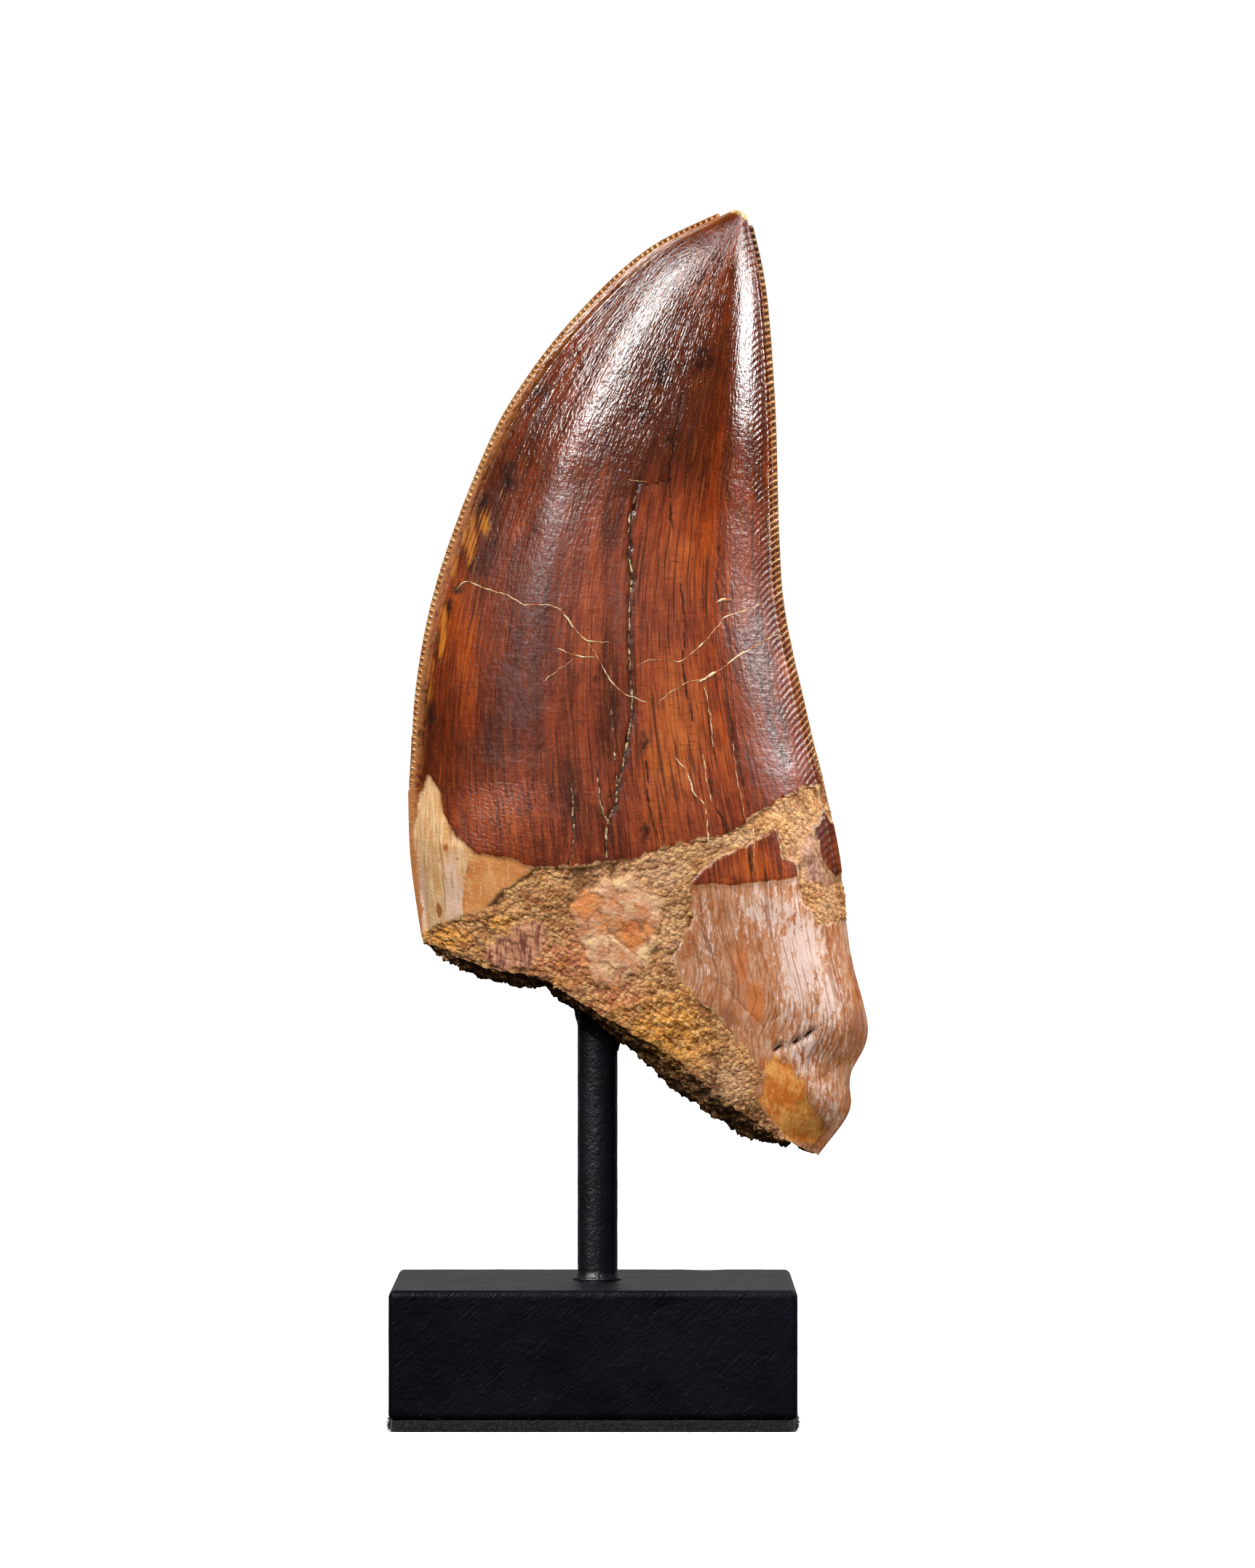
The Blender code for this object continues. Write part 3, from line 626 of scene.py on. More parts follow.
def wrap_piece(mesh, name, finish, smooth_below=None):
    """Ends a skin as an object that rides on the one body."""
    bm = bmesh.new()
    bm.from_mesh(mesh)
    bpy.data.meshes.remove(mesh)
    return new_piece(bm, name, finish, smooth_below)


def waves(places, size, seed=0.0):
    """Soft noise of -1 to 1 at places in mm."""
    offset = Vector((seed, seed * 1.7, seed * 0.6))
    return np.array([noise.noise(Vector(place) / size + offset) for place in places])


def pebbles(places, size, seed=0.0):
    """Rounded grains packed together: 1 on top of each and 0 in the gaps."""
    offset = Vector((seed, seed * 1.7, seed * 0.6))
    found = [noise.voronoi(Vector(place) / size + offset)[0] for place in places]
    nearest, second = np.array(found)[:, :2].T
    return np.clip((second - nearest) * 2.2, 0.0, 1.0) ** 0.7


def line_distance(x, z, points):
    """Distance in mm from places seen from the front to the nearest piece of a line."""
    nearest = np.full(len(x), 1e9)
    for (ax, az), (bx, bz) in zip(points, points[1:]):
        dx, dz = bx - ax, bz - az
        t = np.clip(((x - ax) * dx + (z - az) * dz) / (dx * dx + dz * dz), 0.0, 1.0)
        nearest = np.minimum(nearest, np.hypot(x - ax - t * dx, z - az - t * dz))
    return nearest


def depth_in(places, outline):
    """How far inside a closed outline of (X, Z) the places are, in mm; negative outside."""
    x, z = places[:, 0], places[:, 2]
    closed = outline + outline[:1]
    inside = np.zeros(len(x), bool)
    for (ax, az), (bx, bz) in zip(closed, closed[1:]):
        crosses = (az > z) != (bz > z)
        inside ^= crosses & (x < ax + (z - az) * (bx - ax) / ((bz - az) or 1e-9))
    nearest = line_distance(x, z, closed)
    return np.where(inside, nearest, -nearest)


def marked(places, marks):
    """Strength of a set of soft marks at the places."""
    total = np.zeros(len(places))
    for x, z, across, along, strength in marks:
        away = ((places[:, 0] - x) / across) ** 2 + ((places[:, 2] - z) / along) ** 2
        total = np.maximum(total, strength * np.exp(-away))
    return total


def stone_depth(places):
    """How far inside the sandstone the places are, in mm, with its ragged outline."""
    outline = [corner[:2] for corner in STONE_OUTLINE]
    weights = 0.0
    backs = 0.0
    for x, z, back in STONE_OUTLINE:
        weight = 1.0 / (np.hypot(places[:, 0] - x, places[:, 2] - z) + 0.1) ** 4
        weights = weights + weight
        backs = backs + weight * back
    ragged = waves(places, 1.1, 3.0) * RAGGED + waves(places, 0.45, 5.0) * RAGGED * 0.6
    return np.minimum(depth_in(places, outline), backs / weights - places[:, 1]) + ragged


def place_stone(u, side, row):
    inward = np.clip(row - 1 - STONE_ROWS, 0, None) / STONE_END_ROWS
    inward = np.where(row == 0, 1.0, inward)
    share = np.clip((row - 1) / STONE_ROWS, 0.0, 1.0)
    station = STONE_TOP_STATION + (2.0 - STONE_TOP_STATION) * share
    places = on_tooth(u, station, side, inward)
    sag = np.interp(places[:, 0], *np.array(UNDERSIDE_SAG).T)
    places[:, 2] -= np.where(row > STONE_ROWS, sag * np.sin(np.pi * 0.5 * np.minimum(inward * 1.6, 1.0)), 0.0)
    return places


def chipped(places, size, seed):
    """Plates of bone of about a size, warped: the distance to their seams and each one's number."""
    warp = np.stack([waves(places, size * 0.6, seed + number) for number in range(3)], -1)
    plates = [noise.voronoi(Vector(place) / size + Vector((seed, 0.0, 0.0)))
              for place in places + warp * size * 0.35]
    seams = np.array([(found[0][1] - found[0][0]) * size for found in plates])
    number = np.array([noise.cell(found[1][0] * 7.3) * 0.5 + 0.5 for found in plates])
    return seams, number


stone_mesh = skin("sandstone_lump", STONE_FRONT_COLUMNS, STONE_BACK_COLUMNS, 1 + STONE_ROWS + STONE_END_ROWS,
                  place_stone)
spots = places_of(stone_mesh)
outward = normals_of(stone_mesh)
depth = stone_depth(spots)
stone_row = read(stone_mesh, "row")
in_front = read(stone_mesh, "side") < 0
# How far inside each bone chip the points lie, and the seams between its plates
mosaic = depth_in(spots, CHIP_MOSAIC) + waves(spots, 1.1, 2.0) * 0.5 + waves(spots, 0.4, 3.0) * 0.2
pink = depth_in(spots, PINK_CHIP) + waves(spots, 0.9, 6.0) * 0.3
mauve = depth_in(spots, MAUVE_CHIP) + waves(spots, 0.9, 8.0) * 0.3
seams, plate_number = chipped(spots, CHIP_SIZE, 2.0)
on_chip = np.where(in_front, ramp(np.maximum.reduce([mosaic, pink, mauve]), -0.2, 0.4), 0.0)
# The relief in mm: rounded grains, coarser underneath and in the ochre sand, and flat bone
below = ramp(stone_row, STONE_ROWS - 10, STONE_ROWS + 6)
coarse_sand = np.maximum(below, marked(spots, OCHRE_AREAS))
sand = waves(spots, 2.3) * 0.3 + waves(spots, 0.9, 7.0) * 0.2 * (0.5 + coarse_sand)
sand += (pebbles(spots, 0.4, 1.0) - 0.5) * 0.17 * (0.7 + 0.8 * coarse_sand)
sand += (pebbles(spots, 0.85, 4.0) - 0.5) * 0.2 * (0.4 + 1.1 * coarse_sand)
bone = (plate_number - 0.5) * 0.12 - 0.07 * ramp(seams, 0.22, 0.0) + waves(spots, 0.5, 9.0) * 0.06
bone += waves(spots, 1.8, 5.0) * 0.12
relief = sand * (1 - on_chip) + (bone + 0.04) * on_chip
rise = STONE_HIDDEN + (STONE_LEVEL + relief - STONE_HIDDEN) * ramp(depth, -0.55, -0.05)
half = half_thickness(read(stone_mesh, "across"), np.clip(STONE_TOP_STATION + stone_row / STONE_ROWS, 0, 2.0))
rise = np.maximum(rise, -STONE_DEEPEST_SHARE * half)
set_places(stone_mesh, spots + outward * rise[:, None])
# The hollow and underside numbers are painted shade: the dips of the sand's relief and the stone's underside
# go darker.
draw(stone_mesh, hollow=1.0 - np.clip(0.5 + relief / 0.7, 0.0, 1.0), chip=on_chip, plate=plate_number,
     seam=seams, in_mosaic=mosaic, in_pink=pink, in_mauve=mauve, underneath=below,
     rosy=marked(spots, ROSY_AREAS), ochre=marked(spots, OCHRE_AREAS), pale=marked(spots, PALE_AREAS))

sandstone = Finish("ochre_sandstone", {"Specular IOR Level": 0.4})
grain = sandstone.node("SeparateColor", None, {0: sandstone.cells(0.33, 2.0, "Color")})
grain_edge = sandstone.cells(0.33, 2.0)
patches = sandstone.cloud(2.6, 4.0, 1.0, roughness=0.6)
fleck = sandstone.cloud(0.7, 4.0, 8.0, roughness=0.65)
sand_colour = sandstone.painted(
    sandstone.blend(patches.between(0.36, 0.64), colour(176, 120, 74), colour(208, 154, 100)),
    ((sandstone.drawn("rosy") + (patches - 0.5)).between(0.2, 0.9) * 0.8, 198, 122, 84),
    ((sandstone.drawn("ochre") + (patches - 0.5)).between(0.2, 0.9) * 0.85, 236, 164, 70),
    ((sandstone.drawn("pale") + (fleck - 0.5)).between(0.2, 0.8) * 0.8, 212, 166, 126),
    (fleck.between(0.54, 0.7) * 0.6, 224, 154, 62),
    (grain.between(0.5, 0.9) * 0.5, 228, 182, 120),
    (grain.between(0.4, 0.05) * 0.55, 142, 74, 32),
    (grain_edge.between(0.5, 0.9) * 0.5, 104, 52, 22))

veins = sandstone.cloud(1.2, 6.0, 3.0, roughness=0.65)
chip_tones = sandstone.graded(veins * 0.75 + sandstone.drawn("plate") * 0.3, (0.3, 186, 104, 60),
                              (0.42, 216, 136, 70), (0.52, 196, 132, 90), (0.62, 208, 158, 120),
                              (0.74, 234, 198, 140))
bone_colour = sandstone.painted(
    chip_tones,
    (sandstone.cloud((0.5, 0.5, 0.18), 4.0, 5.0).between(0.58, 0.7) * 0.5, 232, 204, 172),
    (fleck.between(0.58, 0.68) * 0.6, 176, 96, 44),
    (sandstone.drawn("seam").between(0.16, 0.02) * 0.6, 128, 76, 48))
flakes = sandstone.cloud((0.35, 0.35, 1.4), 4.0, 5.0, roughness=0.6)
pink_colour = sandstone.blend(flakes.between(0.4, 0.62), colour(200, 140, 104), colour(118, 68, 54))
mauve_colour = sandstone.blend(flakes.between(0.4, 0.6), colour(180, 134, 110), colour(122, 80, 68))
whole = sandstone.blend(sandstone.drawn("in_mosaic").between(-0.2, 0.5), sand_colour, bone_colour)
whole = sandstone.blend(sandstone.drawn("in_pink").between(-0.1, 0.3), whole, pink_colour)
whole = sandstone.blend(sandstone.drawn("in_mauve").between(-0.3, 0.6) * 0.8, whole, mauve_colour)
# Painted shade over the stone's colours: darker in the dips of the relief and on the underside.
whole = sandstone.painted(
    whole,
    (sandstone.drawn("hollow").between(0.52, 0.85) * 0.6, 92, 46, 18),
    (sandstone.drawn("underneath") * 0.55, 78, 52, 30))
sandstone.feed("Base Color", whole)
sandstone.feed("Roughness", 0.85 - sandstone.drawn("chip") * 0.4 - grain.between(0.7, 1.0) * 0.25)
sandstone.relief((grain_edge * -0.2 + sandstone.cells(0.13, 6.0) * -0.07)
                 * (1 - sandstone.drawn("chip") * 0.75) + fleck * 0.1 + veins * 0.05)

stone = wrap_piece(stone_mesh, "sandstone_lump", sandstone)
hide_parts("sandstone_matrix")


# The tooth
# One grown piece: glossy red-brown enamel with lengthwise wrinkles over the crown, and
# bare dentine below it, cream where a flake is gone and pearly pink and amber elsewhere.

FRONT_COLUMNS = 196
BACK_COLUMNS = 68
TOOTH_CROWN_ROWS = 210
TOOTH_ROOT_ROWS = 112
TOOTH_END_ROWS = 10
EASING_ROWS = range(-16, 17, 2)
EASED_REACH = 24.0
CROWN_LENGTH = 47.0
ROOT_LENGTH = 29.0
DENTICLE_GAP = 0.34
MESIAL_DENTICLES = 112
DISTAL_DENTICLES = 84
STONE_COVER = 1.3
ENAMEL_STEP = 0.13
MEAN_WIDTH = 33.0
# A distance in mm that means none, how deep and wide the fine cracks, the gaps and the
# seams are, and how much of the half thickness the relief may take away
FAR = 9.0
MAIN_CRACK_DEPTH = 0.2
GROOVES = [(0.025, 0.16), (0.4, 0.17), (0.05, 0.18)]
AMBER_SINK = 0.12
DEEPEST_SHARE = 0.85
NEXT_STATION = 0.004

# Bare dentine in front, as outlines of (X, Z)
CREAM_FLAKE = [(-13.0, 50.9), (-12.1, 49.5), (-11.9, 48.0), (-11.0, 46.1), (-10.1, 45.4), (-9.5, 44.8),
               (-10.1, 43.1), (-10.4, 40.7), (-10.2, 39.2), (-11.6, 38.6), (-12.5, 38.0), (-13.4, 37.0),
               (-13.6, 39.6), (-14.1, 45.3), (-14.2, 46.6), (-13.9, 48.9)]
PEACH_PATCH = [(-9.5, 44.8), (-8.4, 44.6), (-6.8, 44.4), (-4.9, 43.6), (-3.8, 43.2), (-4.6, 41.3),
               (-7.3, 40.5), (-8.4, 39.3), (-10.2, 38.7), (-10.4, 40.7), (-10.1, 43.1)]
PEARLY_ROOT = [(6.6, 42.3), (8.2, 42.2), (9.4, 42.3), (10.7, 42.2), (12.5, 42.4), (14.1, 42.5),
               (16.4, 42.9), (17.5, 42.5), (19.0, 41.5), (24.0, 41.0), (25.0, 16.0), (10.0, 16.0),
               (4.0, 30.0), (4.0, 41.0)]
AMBER_END = [(13.5, 28.4), (14.3, 28.7), (15.6, 28.2), (16.8, 26.3), (17.2, 24.8), (18.7, 22.7),
             (17.8, 21.6), (16.0, 21.9), (14.1, 22.3), (12.4, 24.6), (13.2, 26.1), (13.6, 27.2)]

# Soft marks on the front of the enamel: X, Z, half width, half height and strength
ORANGE_MARKS = [(6.6, 53.5, 5.0, 9.0, 1.0), (6.8, 68.0, 4.5, 6.0, 0.75), (-10.1, 61.5, 2.2, 6.0, 0.6),
                (-6.5, 47.5, 5.5, 3.5, 0.6), (0.0, 63.0, 2.6, 9.0, 0.5), (0.5, 50.0, 2.2, 5.0, 0.5),
                (10.8, 66.0, 2.6, 8.0, 0.35), (12.3, 43.8, 3.0, 2.2, 0.9), (8.0, 89.0, 1.6, 4.0, 0.3),
                (-1.0, 56.0, 2.5, 6.0, 0.4)]
DARK_MARKS = [(5.4, 82.6, 1.8, 2.6, 1.0), (8.4, 83.6, 2.2, 2.8, 0.9), (3.6, 79.4, 2.2, 1.8, 0.9),
              (6.4, 77.4, 2.4, 1.8, 0.8), (-4.4, 81.3, 1.2, 1.5, 1.0),
              (-3.6, 83.5, 2.0, 0.8, 0.7), (-6.8, 74.6, 1.3, 2.2, 1.0), (-8.6, 76.0, 0.9, 3.0, 0.7),
              (-9.5, 67.7, 1.3, 2.4, 1.0), (-12.4, 61.0, 0.7, 2.4, 0.9), (-9.0, 72.0, 1.2, 2.6, 0.9),
              (-12.9, 55.6, 0.7, 2.6, 0.9), (-8.0, 69.4, 0.8, 1.6, 0.8), (-11.4, 63.9, 0.8, 1.2, 1.0),
              (-10.6, 65.6, 1.0, 0.8, 0.9),
              (-13.6, 57.3, 0.6, 3.6, 1.0), (-13.9, 53.2, 0.6, 3.4, 1.0), (-13.1, 60.9, 0.4, 1.2, 0.9),
              (4.0, 53.5, 0.8, 1.8, 1.0), (4.1, 46.3, 0.7, 1.3, 0.9), (4.2, 49.0, 0.4, 2.2, 0.7),
              (-5.5, 48.4, 1.2, 1.4, 0.8), (11.0, 79.5, 1.2, 6.0, 0.5), (0.2, 58.6, 0.7, 1.0, 0.8),
              (8.2, 51.5, 0.5, 3.4, 0.6), (-6.8, 45.6, 0.7, 1.6, 0.5), (1.4, 48.8, 0.7, 4.0, 0.6)]
AMBER_MARKS = [(-9.6, 69.4, 0.6, 4.0, 1.0), (-10.9, 66.6, 0.5, 2.6, 0.9), (-12.0, 62.0, 0.6, 3.4, 1.0),
               (-12.9, 58.0, 0.5, 2.8, 0.9), (-8.6, 70.6, 0.8, 1.8, 1.0), (-10.2, 69.9, 0.4, 1.8, 0.9),
               (-7.2, 73.0, 0.5, 1.5, 0.6),
               (-11.9, 63.3, 0.6, 1.5, 1.0), (-12.7, 59.6, 0.4, 1.2, 1.0), (-12.9, 57.2, 0.35, 1.4, 1.0),
               (-11.2, 67.4, 0.35, 1.6, 0.8), (-4.8, 78.5, 0.8, 1.4, 0.4)]
SHADED_MARKS = [(6.8, 83.0, 3.6, 9.0, 1.0), (4.5, 76.5, 3.0, 5.0, 0.6), (-8.6, 74.0, 1.6, 6.0, 0.7),
                (-6.5, 80.0, 2.5, 3.0, 0.5), (-2.0, 49.5, 3.0, 2.6, 0.5), (1.5, 56.0, 1.6, 8.0, 0.6),
                (12.5, 80.0, 1.2, 8.0, 0.5), (-13.4, 56.0, 0.9, 5.0, 0.6)]
# Mauve patches are partly a real film on the enamel and partly painted sheen
MAUVE_FILM_AND_SHEEN_MARKS = [(-4.7, 65.1, 2.2, 4.0, 0.8), (-5.5, 57.6, 3.0, 4.6, 1.0), (-2.6, 72.0, 2.2, 5.0, 0.8),
               (7.1, 79.0, 1.8, 3.5, 0.6), (11.2, 85.5, 1.2, 4.0, 0.6), (2.0, 64.0, 1.3, 7.0, 0.8),
               (12.6, 52.0, 2.2, 4.5, 0.8), (2.6, 56.0, 1.2, 4.0, 0.6), (10.0, 73.5, 1.2, 2.6, 0.5),
               (4.8, 87.5, 1.0, 2.0, 0.4), (-8.0, 53.0, 1.6, 2.4, 0.5), (9.4, 56.5, 1.5, 2.5, 0.4),
               (0.2, 75.5, 1.6, 3.0, 0.6), (14.8, 44.2, 1.0, 1.6, 0.5)]
# The low crest that carries the long highlight, and the Z between which it fades out
CREST = [(10.6, 94.6), (9.7, 93.8), (6.6, 90.3), (4.3, 87.5), (2.5, 84.6), (0.8, 81.1), (-0.9, 78.0),
         (-2.6, 74.8), (-3.4, 69.6), (-4.6, 65.0), (-5.5, 57.6)]
CREST_HEIGHT = 0.24
CREST_WIDTH = 2.0
CREST_FOOT = (54.0, 68.0)
TIP_WEAR = [(10.9, 95.9), (11.8, 95.6), (12.6, 95.0)]

# The cracks in front as courses of (X, Z)
MAIN_CRACK = [(6.1, 81.0), (5.3, 78.3), (4.7, 76.7), (3.5, 74.1), (3.4, 73.3), (2.8, 71.1), (2.8, 68.3),
              (3.0, 66.2), (2.8, 64.1), (2.8, 60.3), (3.0, 57.4), (3.0, 55.5), (2.8, 54.2), (2.4, 52.0),
              (2.0, 50.1), (1.7, 48.5), (1.1, 47.2), (1.0, 46.1), (1.1, 44.0)]
DARK_CRACKS = [[(1.3, 58.0), (1.5, 54.5), (1.7, 51.5), (1.9, 49.1)],
               [(0.2, 52.4), (0.6, 48.5), (1.1, 47.2)],
               [(-1.8, 50.4), (-1.6, 48.8), (-1.6, 45.3), (-2.1, 43.8)],
               [(2.4, 74.2), (4.2, 73.8), (6.1, 74.1)],
               [(12.6, 60.7), (13.2, 58.0), (13.9, 55.3), (14.6, 53.7), (15.4, 51.5)],
               [(6.9, 66.0), (7.2, 62.4), (7.0, 59.6), (7.7, 55.0)], [(4.2, 52.0), (4.4, 48.4), (5.0, 45.4)],
               [(9.9, 69.0), (9.7, 65.6), (10.6, 61.2)], [(12.0, 47.0), (12.2, 44.6), (12.4, 42.6)],
               [(10.6, 56.0), (11.2, 52.6), (12.4, 47.4)],
               [(7.0, 81.6), (6.5, 78.4), (5.9, 74.4), (6.2, 70.0)],
               [(9.0, 50.6), (9.6, 48.4), (10.6, 46.2)]]
# Open gaps in the root, and hairlines and seams in its dentine
GAP_CRACKS = [[(14.3, 29.25), (14.8, 29.6)], [(15.8, 29.7), (16.2, 30.0)], [(16.7, 30.2), (17.4, 30.75)]]
ROOT_SEAMS = [[(10.2, 34.6), (11.4, 33.2), (12.8, 31.6), (13.4, 31.1), (14.8, 32.2)],
              [(13.2, 28.4), (14.3, 29.2), (16.0, 29.8), (17.4, 30.7), (19.3, 32.3)],
              [(17.0, 26.6), (18.2, 27.2), (19.7, 28.1)], [(20.2, 34.0), (20.3, 31.6), (20.2, 29.4)],
              [(17.5, 35.0), (17.7, 33.2), (17.4, 31.6)], [(8.2, 42.0), (8.4, 39.5), (9.6, 35.5)]]

# Tints of the root's bare dentine: X, Z, half width, half height and strength
ORANGE_ROOT = [(11.6, 36.4, 0.9, 3.6, 1.0), (12.8, 33.0, 1.0, 2.6, 1.0), (9.4, 40.5, 1.6, 1.4, 0.7),
               (7.5, 37.0, 0.9, 2.0, 0.5), (13.0, 38.5, 0.5, 3.0, 0.6), (14.9, 27.5, 0.8, 2.0, 0.6),
               (10.9, 32.6, 1.5, 1.6, 0.5)]
BROWN_ROOT = [(10.4, 31.8, 1.2, 1.2, 1.0), (20.8, 31.0, 0.9, 2.6, 1.0), (9.9, 34.6, 2.0, 0.5, 0.6),
              (20.0, 26.0, 0.7, 2.6, 0.7), (18.3, 38.6, 0.6, 1.4, 0.7), (19.4, 36.0, 0.7, 3.0, 0.5),
              (8.2, 27.0, 0.8, 0.8, 0.3)]
# The whitest patches of the pearly root: partly the dentine's own pearly white, partly painted sheen
PEARL_WHITE_AND_SHEEN_MARKS = [(16.4, 36.5, 1.8, 5.0, 1.0), (16.6, 29.5, 1.6, 3.0, 0.7), (13.6, 40.0, 2.2, 2.4, 0.7),
              (18.6, 33.0, 1.2, 3.0, 0.8), (8.9, 38.5, 0.5, 3.4, 0.6), (18.9, 25.2, 0.9, 2.2, 0.5)]
RUSTY_FLAKE = [(-11.7, 45.2, 0.3, 0.5, 1.0), (-12.2, 44.2, 0.25, 0.3, 0.8), (-12.3, 40.2, 0.35, 0.9, 1.0),
               (-11.3, 46.3, 0.25, 0.4, 0.7), (-12.6, 38.8, 0.6, 0.5, 0.9), (-10.8, 44.3, 0.3, 0.3, 0.8)]
LILAC_FLAKE = [(-11.0, 41.2, 1.0, 2.2, 1.0), (-13.6, 41.0, 0.35, 3.4, 1.0), (-11.3, 43.6, 0.9, 1.6, 0.7)]


def course_distance(places, course, jitter=0.0, seed=0.0):
    """Distance in mm from the places to a course on the front, taken with a little wander."""
    wander = waves(places, 0.9, seed) * jitter if jitter else 0.0
    return line_distance(places[:, 0] + wander, places[:, 2], course)


def nearest_course(places, front, courses, jitter, seed=0.0):
    """Distance in mm to the nearest of some courses on the front, and FAR where there is none."""
    nearest = np.full(len(places), FAR)
    for number, course in enumerate(courses):
        nearest = np.minimum(nearest, course_distance(places, course, jitter, number + seed))
    return np.where(front, nearest, FAR)


def crest_rise(places):
    """Height in mm of the low crest that carries the long highlight."""
    bell = np.exp(-(course_distance(places, CREST) / CREST_WIDTH) ** 2)
    return CREST_HEIGHT * bell * ramp(places[:, 2], *CREST_FOOT)


def broad_swell(places):
    """Height in mm of the slow swells of the tooth's surface."""
    return waves(places, 6.0, 1.0) * 0.05 + waves(places, 2.2, 2.0) * 0.022


def station_of(row):
    """Row 0 closes the tip; then come the crown's rows and the root's."""
    crown = np.clip(row - 1, 0, TOOTH_CROWN_ROWS) / TOOTH_CROWN_ROWS
    return crown + np.clip(row - 1 - TOOTH_CROWN_ROWS, 0, TOOTH_ROOT_ROWS) / TOOTH_ROOT_ROWS


def place_tooth(u, side, row):
    """Points of the tooth, with the flank eased over the foot of the enamel."""
    past_break = np.clip(row - 1 - TOOTH_CROWN_ROWS - TOOTH_ROOT_ROWS, 0, None)
    inward = np.where(row == 0, 1.0, past_break / TOOTH_END_ROWS)
    places = on_tooth(u, station_of(row), side, inward)
    eased_y = np.mean([on_tooth(u, station_of(row + shift), side, inward)[:, 1]
                       for shift in EASING_ROWS], axis=0)
    near_foot = np.exp(-((row - 1 - TOOTH_CROWN_ROWS) / EASED_REACH) ** 2)
    places[:, 1] += (eased_y - places[:, 1]) * near_foot
    return places


tooth_mesh = skin("fossil_tooth", FRONT_COLUMNS, BACK_COLUMNS,
                  1 + TOOTH_CROWN_ROWS + TOOTH_ROOT_ROWS + TOOTH_END_ROWS, place_tooth)
spots = places_of(tooth_mesh)
outward = normals_of(tooth_mesh)
u = read(tooth_mesh, "across")
side = read(tooth_mesh, "side")
row = read(tooth_mesh, "row")
station = station_of(row)
front = side < 0
width = np.linalg.norm(edge_at(1, station) - edge_at(-1, station), axis=-1)
from_mesial = u * width
from_distal = (1.0 - u) * width
from_edge = np.minimum(from_mesial, from_distal)
along = np.where(station <= 1.0, station * CROWN_LENGTH, CROWN_LENGTH + (station - 1.0) * ROOT_LENGTH)

# How far inside the stone, the lost flakes of enamel and the bare root each point lies
stone_in = stone_depth(spots)
flake = depth_in(spots, CREAM_FLAKE) + waves(spots, 1.4, 2.0) * 0.12
peach = depth_in(spots, PEACH_PATCH) + waves(spots, 1.2, 4.0) * 0.12
pearl = depth_in(spots, PEARLY_ROOT)
back_root = (station - 1.02) * ROOT_LENGTH + waves(spots, 7.0, 5.0) * 2.6 + waves(spots, 2.4, 6.0) * 0.8
back_root += waves(spots, 0.8, 6.0) * 0.3
broken = ramp(row, TOOTH_CROWN_ROWS + TOOTH_ROOT_ROWS, TOOTH_CROWN_ROWS + TOOTH_ROOT_ROWS + 2)
bare = np.where(front, np.maximum.reduce([flake, peach, pearl]), back_root)
bare = np.maximum(bare, broken * 3.0 - 1.0)

# The rise of the surface in mm: swells and wrinkles, the step down to the dentine, the
# cracks and their gaps, and the part that goes in under the stone
swell = broad_swell(spots) + waves(spots, 0.8, 3.0) * 0.006
lengthwise = np.stack([u * MEAN_WIDTH, side * 3.0, along / 9.0], -1)
swell += waves(lengthwise, 1.3, 4.0) * 0.02 + waves(lengthwise, 0.6, 5.0) * 0.012
swell += np.where(front, crest_rise(spots), 0.0)
swell *= ramp(from_edge, 0.1, 1.5)
bare_relief = waves(lengthwise, 0.9, 7.0) * 0.05 + waves(spots, 1.6, 8.0) * 0.06 - ENAMEL_STEP
rise = swell + np.where(station > 0.8, ramp(bare, -0.06, 0.12) * bare_relief, 0.0)
rise += broken * (waves(spots, 1.2, 9.0) * 0.2 + (pebbles(spots, 0.6, 2.0) - 0.5) * 0.12)
main = np.where(front, course_distance(spots, MAIN_CRACK, 0.22, 4.0), FAR)
main_width = 0.12 + 0.05 * waves(spots, 1.6, 14.0)
rise -= MAIN_CRACK_DEPTH * np.exp(-(main / main_width) ** 2) * ramp(spots[:, 2], 75.0, 72.5)
main += 0.12 * ramp(spots[:, 2], 73.0, 75.0)
fine_crack = nearest_course(spots, front, DARK_CRACKS, 0.15)
gap = nearest_course(spots, front, GAP_CRACKS, 0.1)
seam = nearest_course(spots, front, ROOT_SEAMS, 0.25, 3.0)
for crack, (groove_depth, groove_width) in zip((fine_crack, gap, seam), GROOVES):
    rise -= groove_depth * np.exp(-(crack / groove_width) ** 2)
amber_end = np.where(front, depth_in(spots, AMBER_END) + waves(spots, 0.9, 3.0) * 0.2, -FAR)
rise -= AMBER_SINK * ramp(amber_end, -0.1, 0.3)
rise -= STONE_COVER * ramp(stone_in, 0.0, 0.4)
half = half_thickness(u, station)
rise = np.maximum(rise, -DEEPEST_SHARE * half)
moved = spots + outward * rise[:, None]
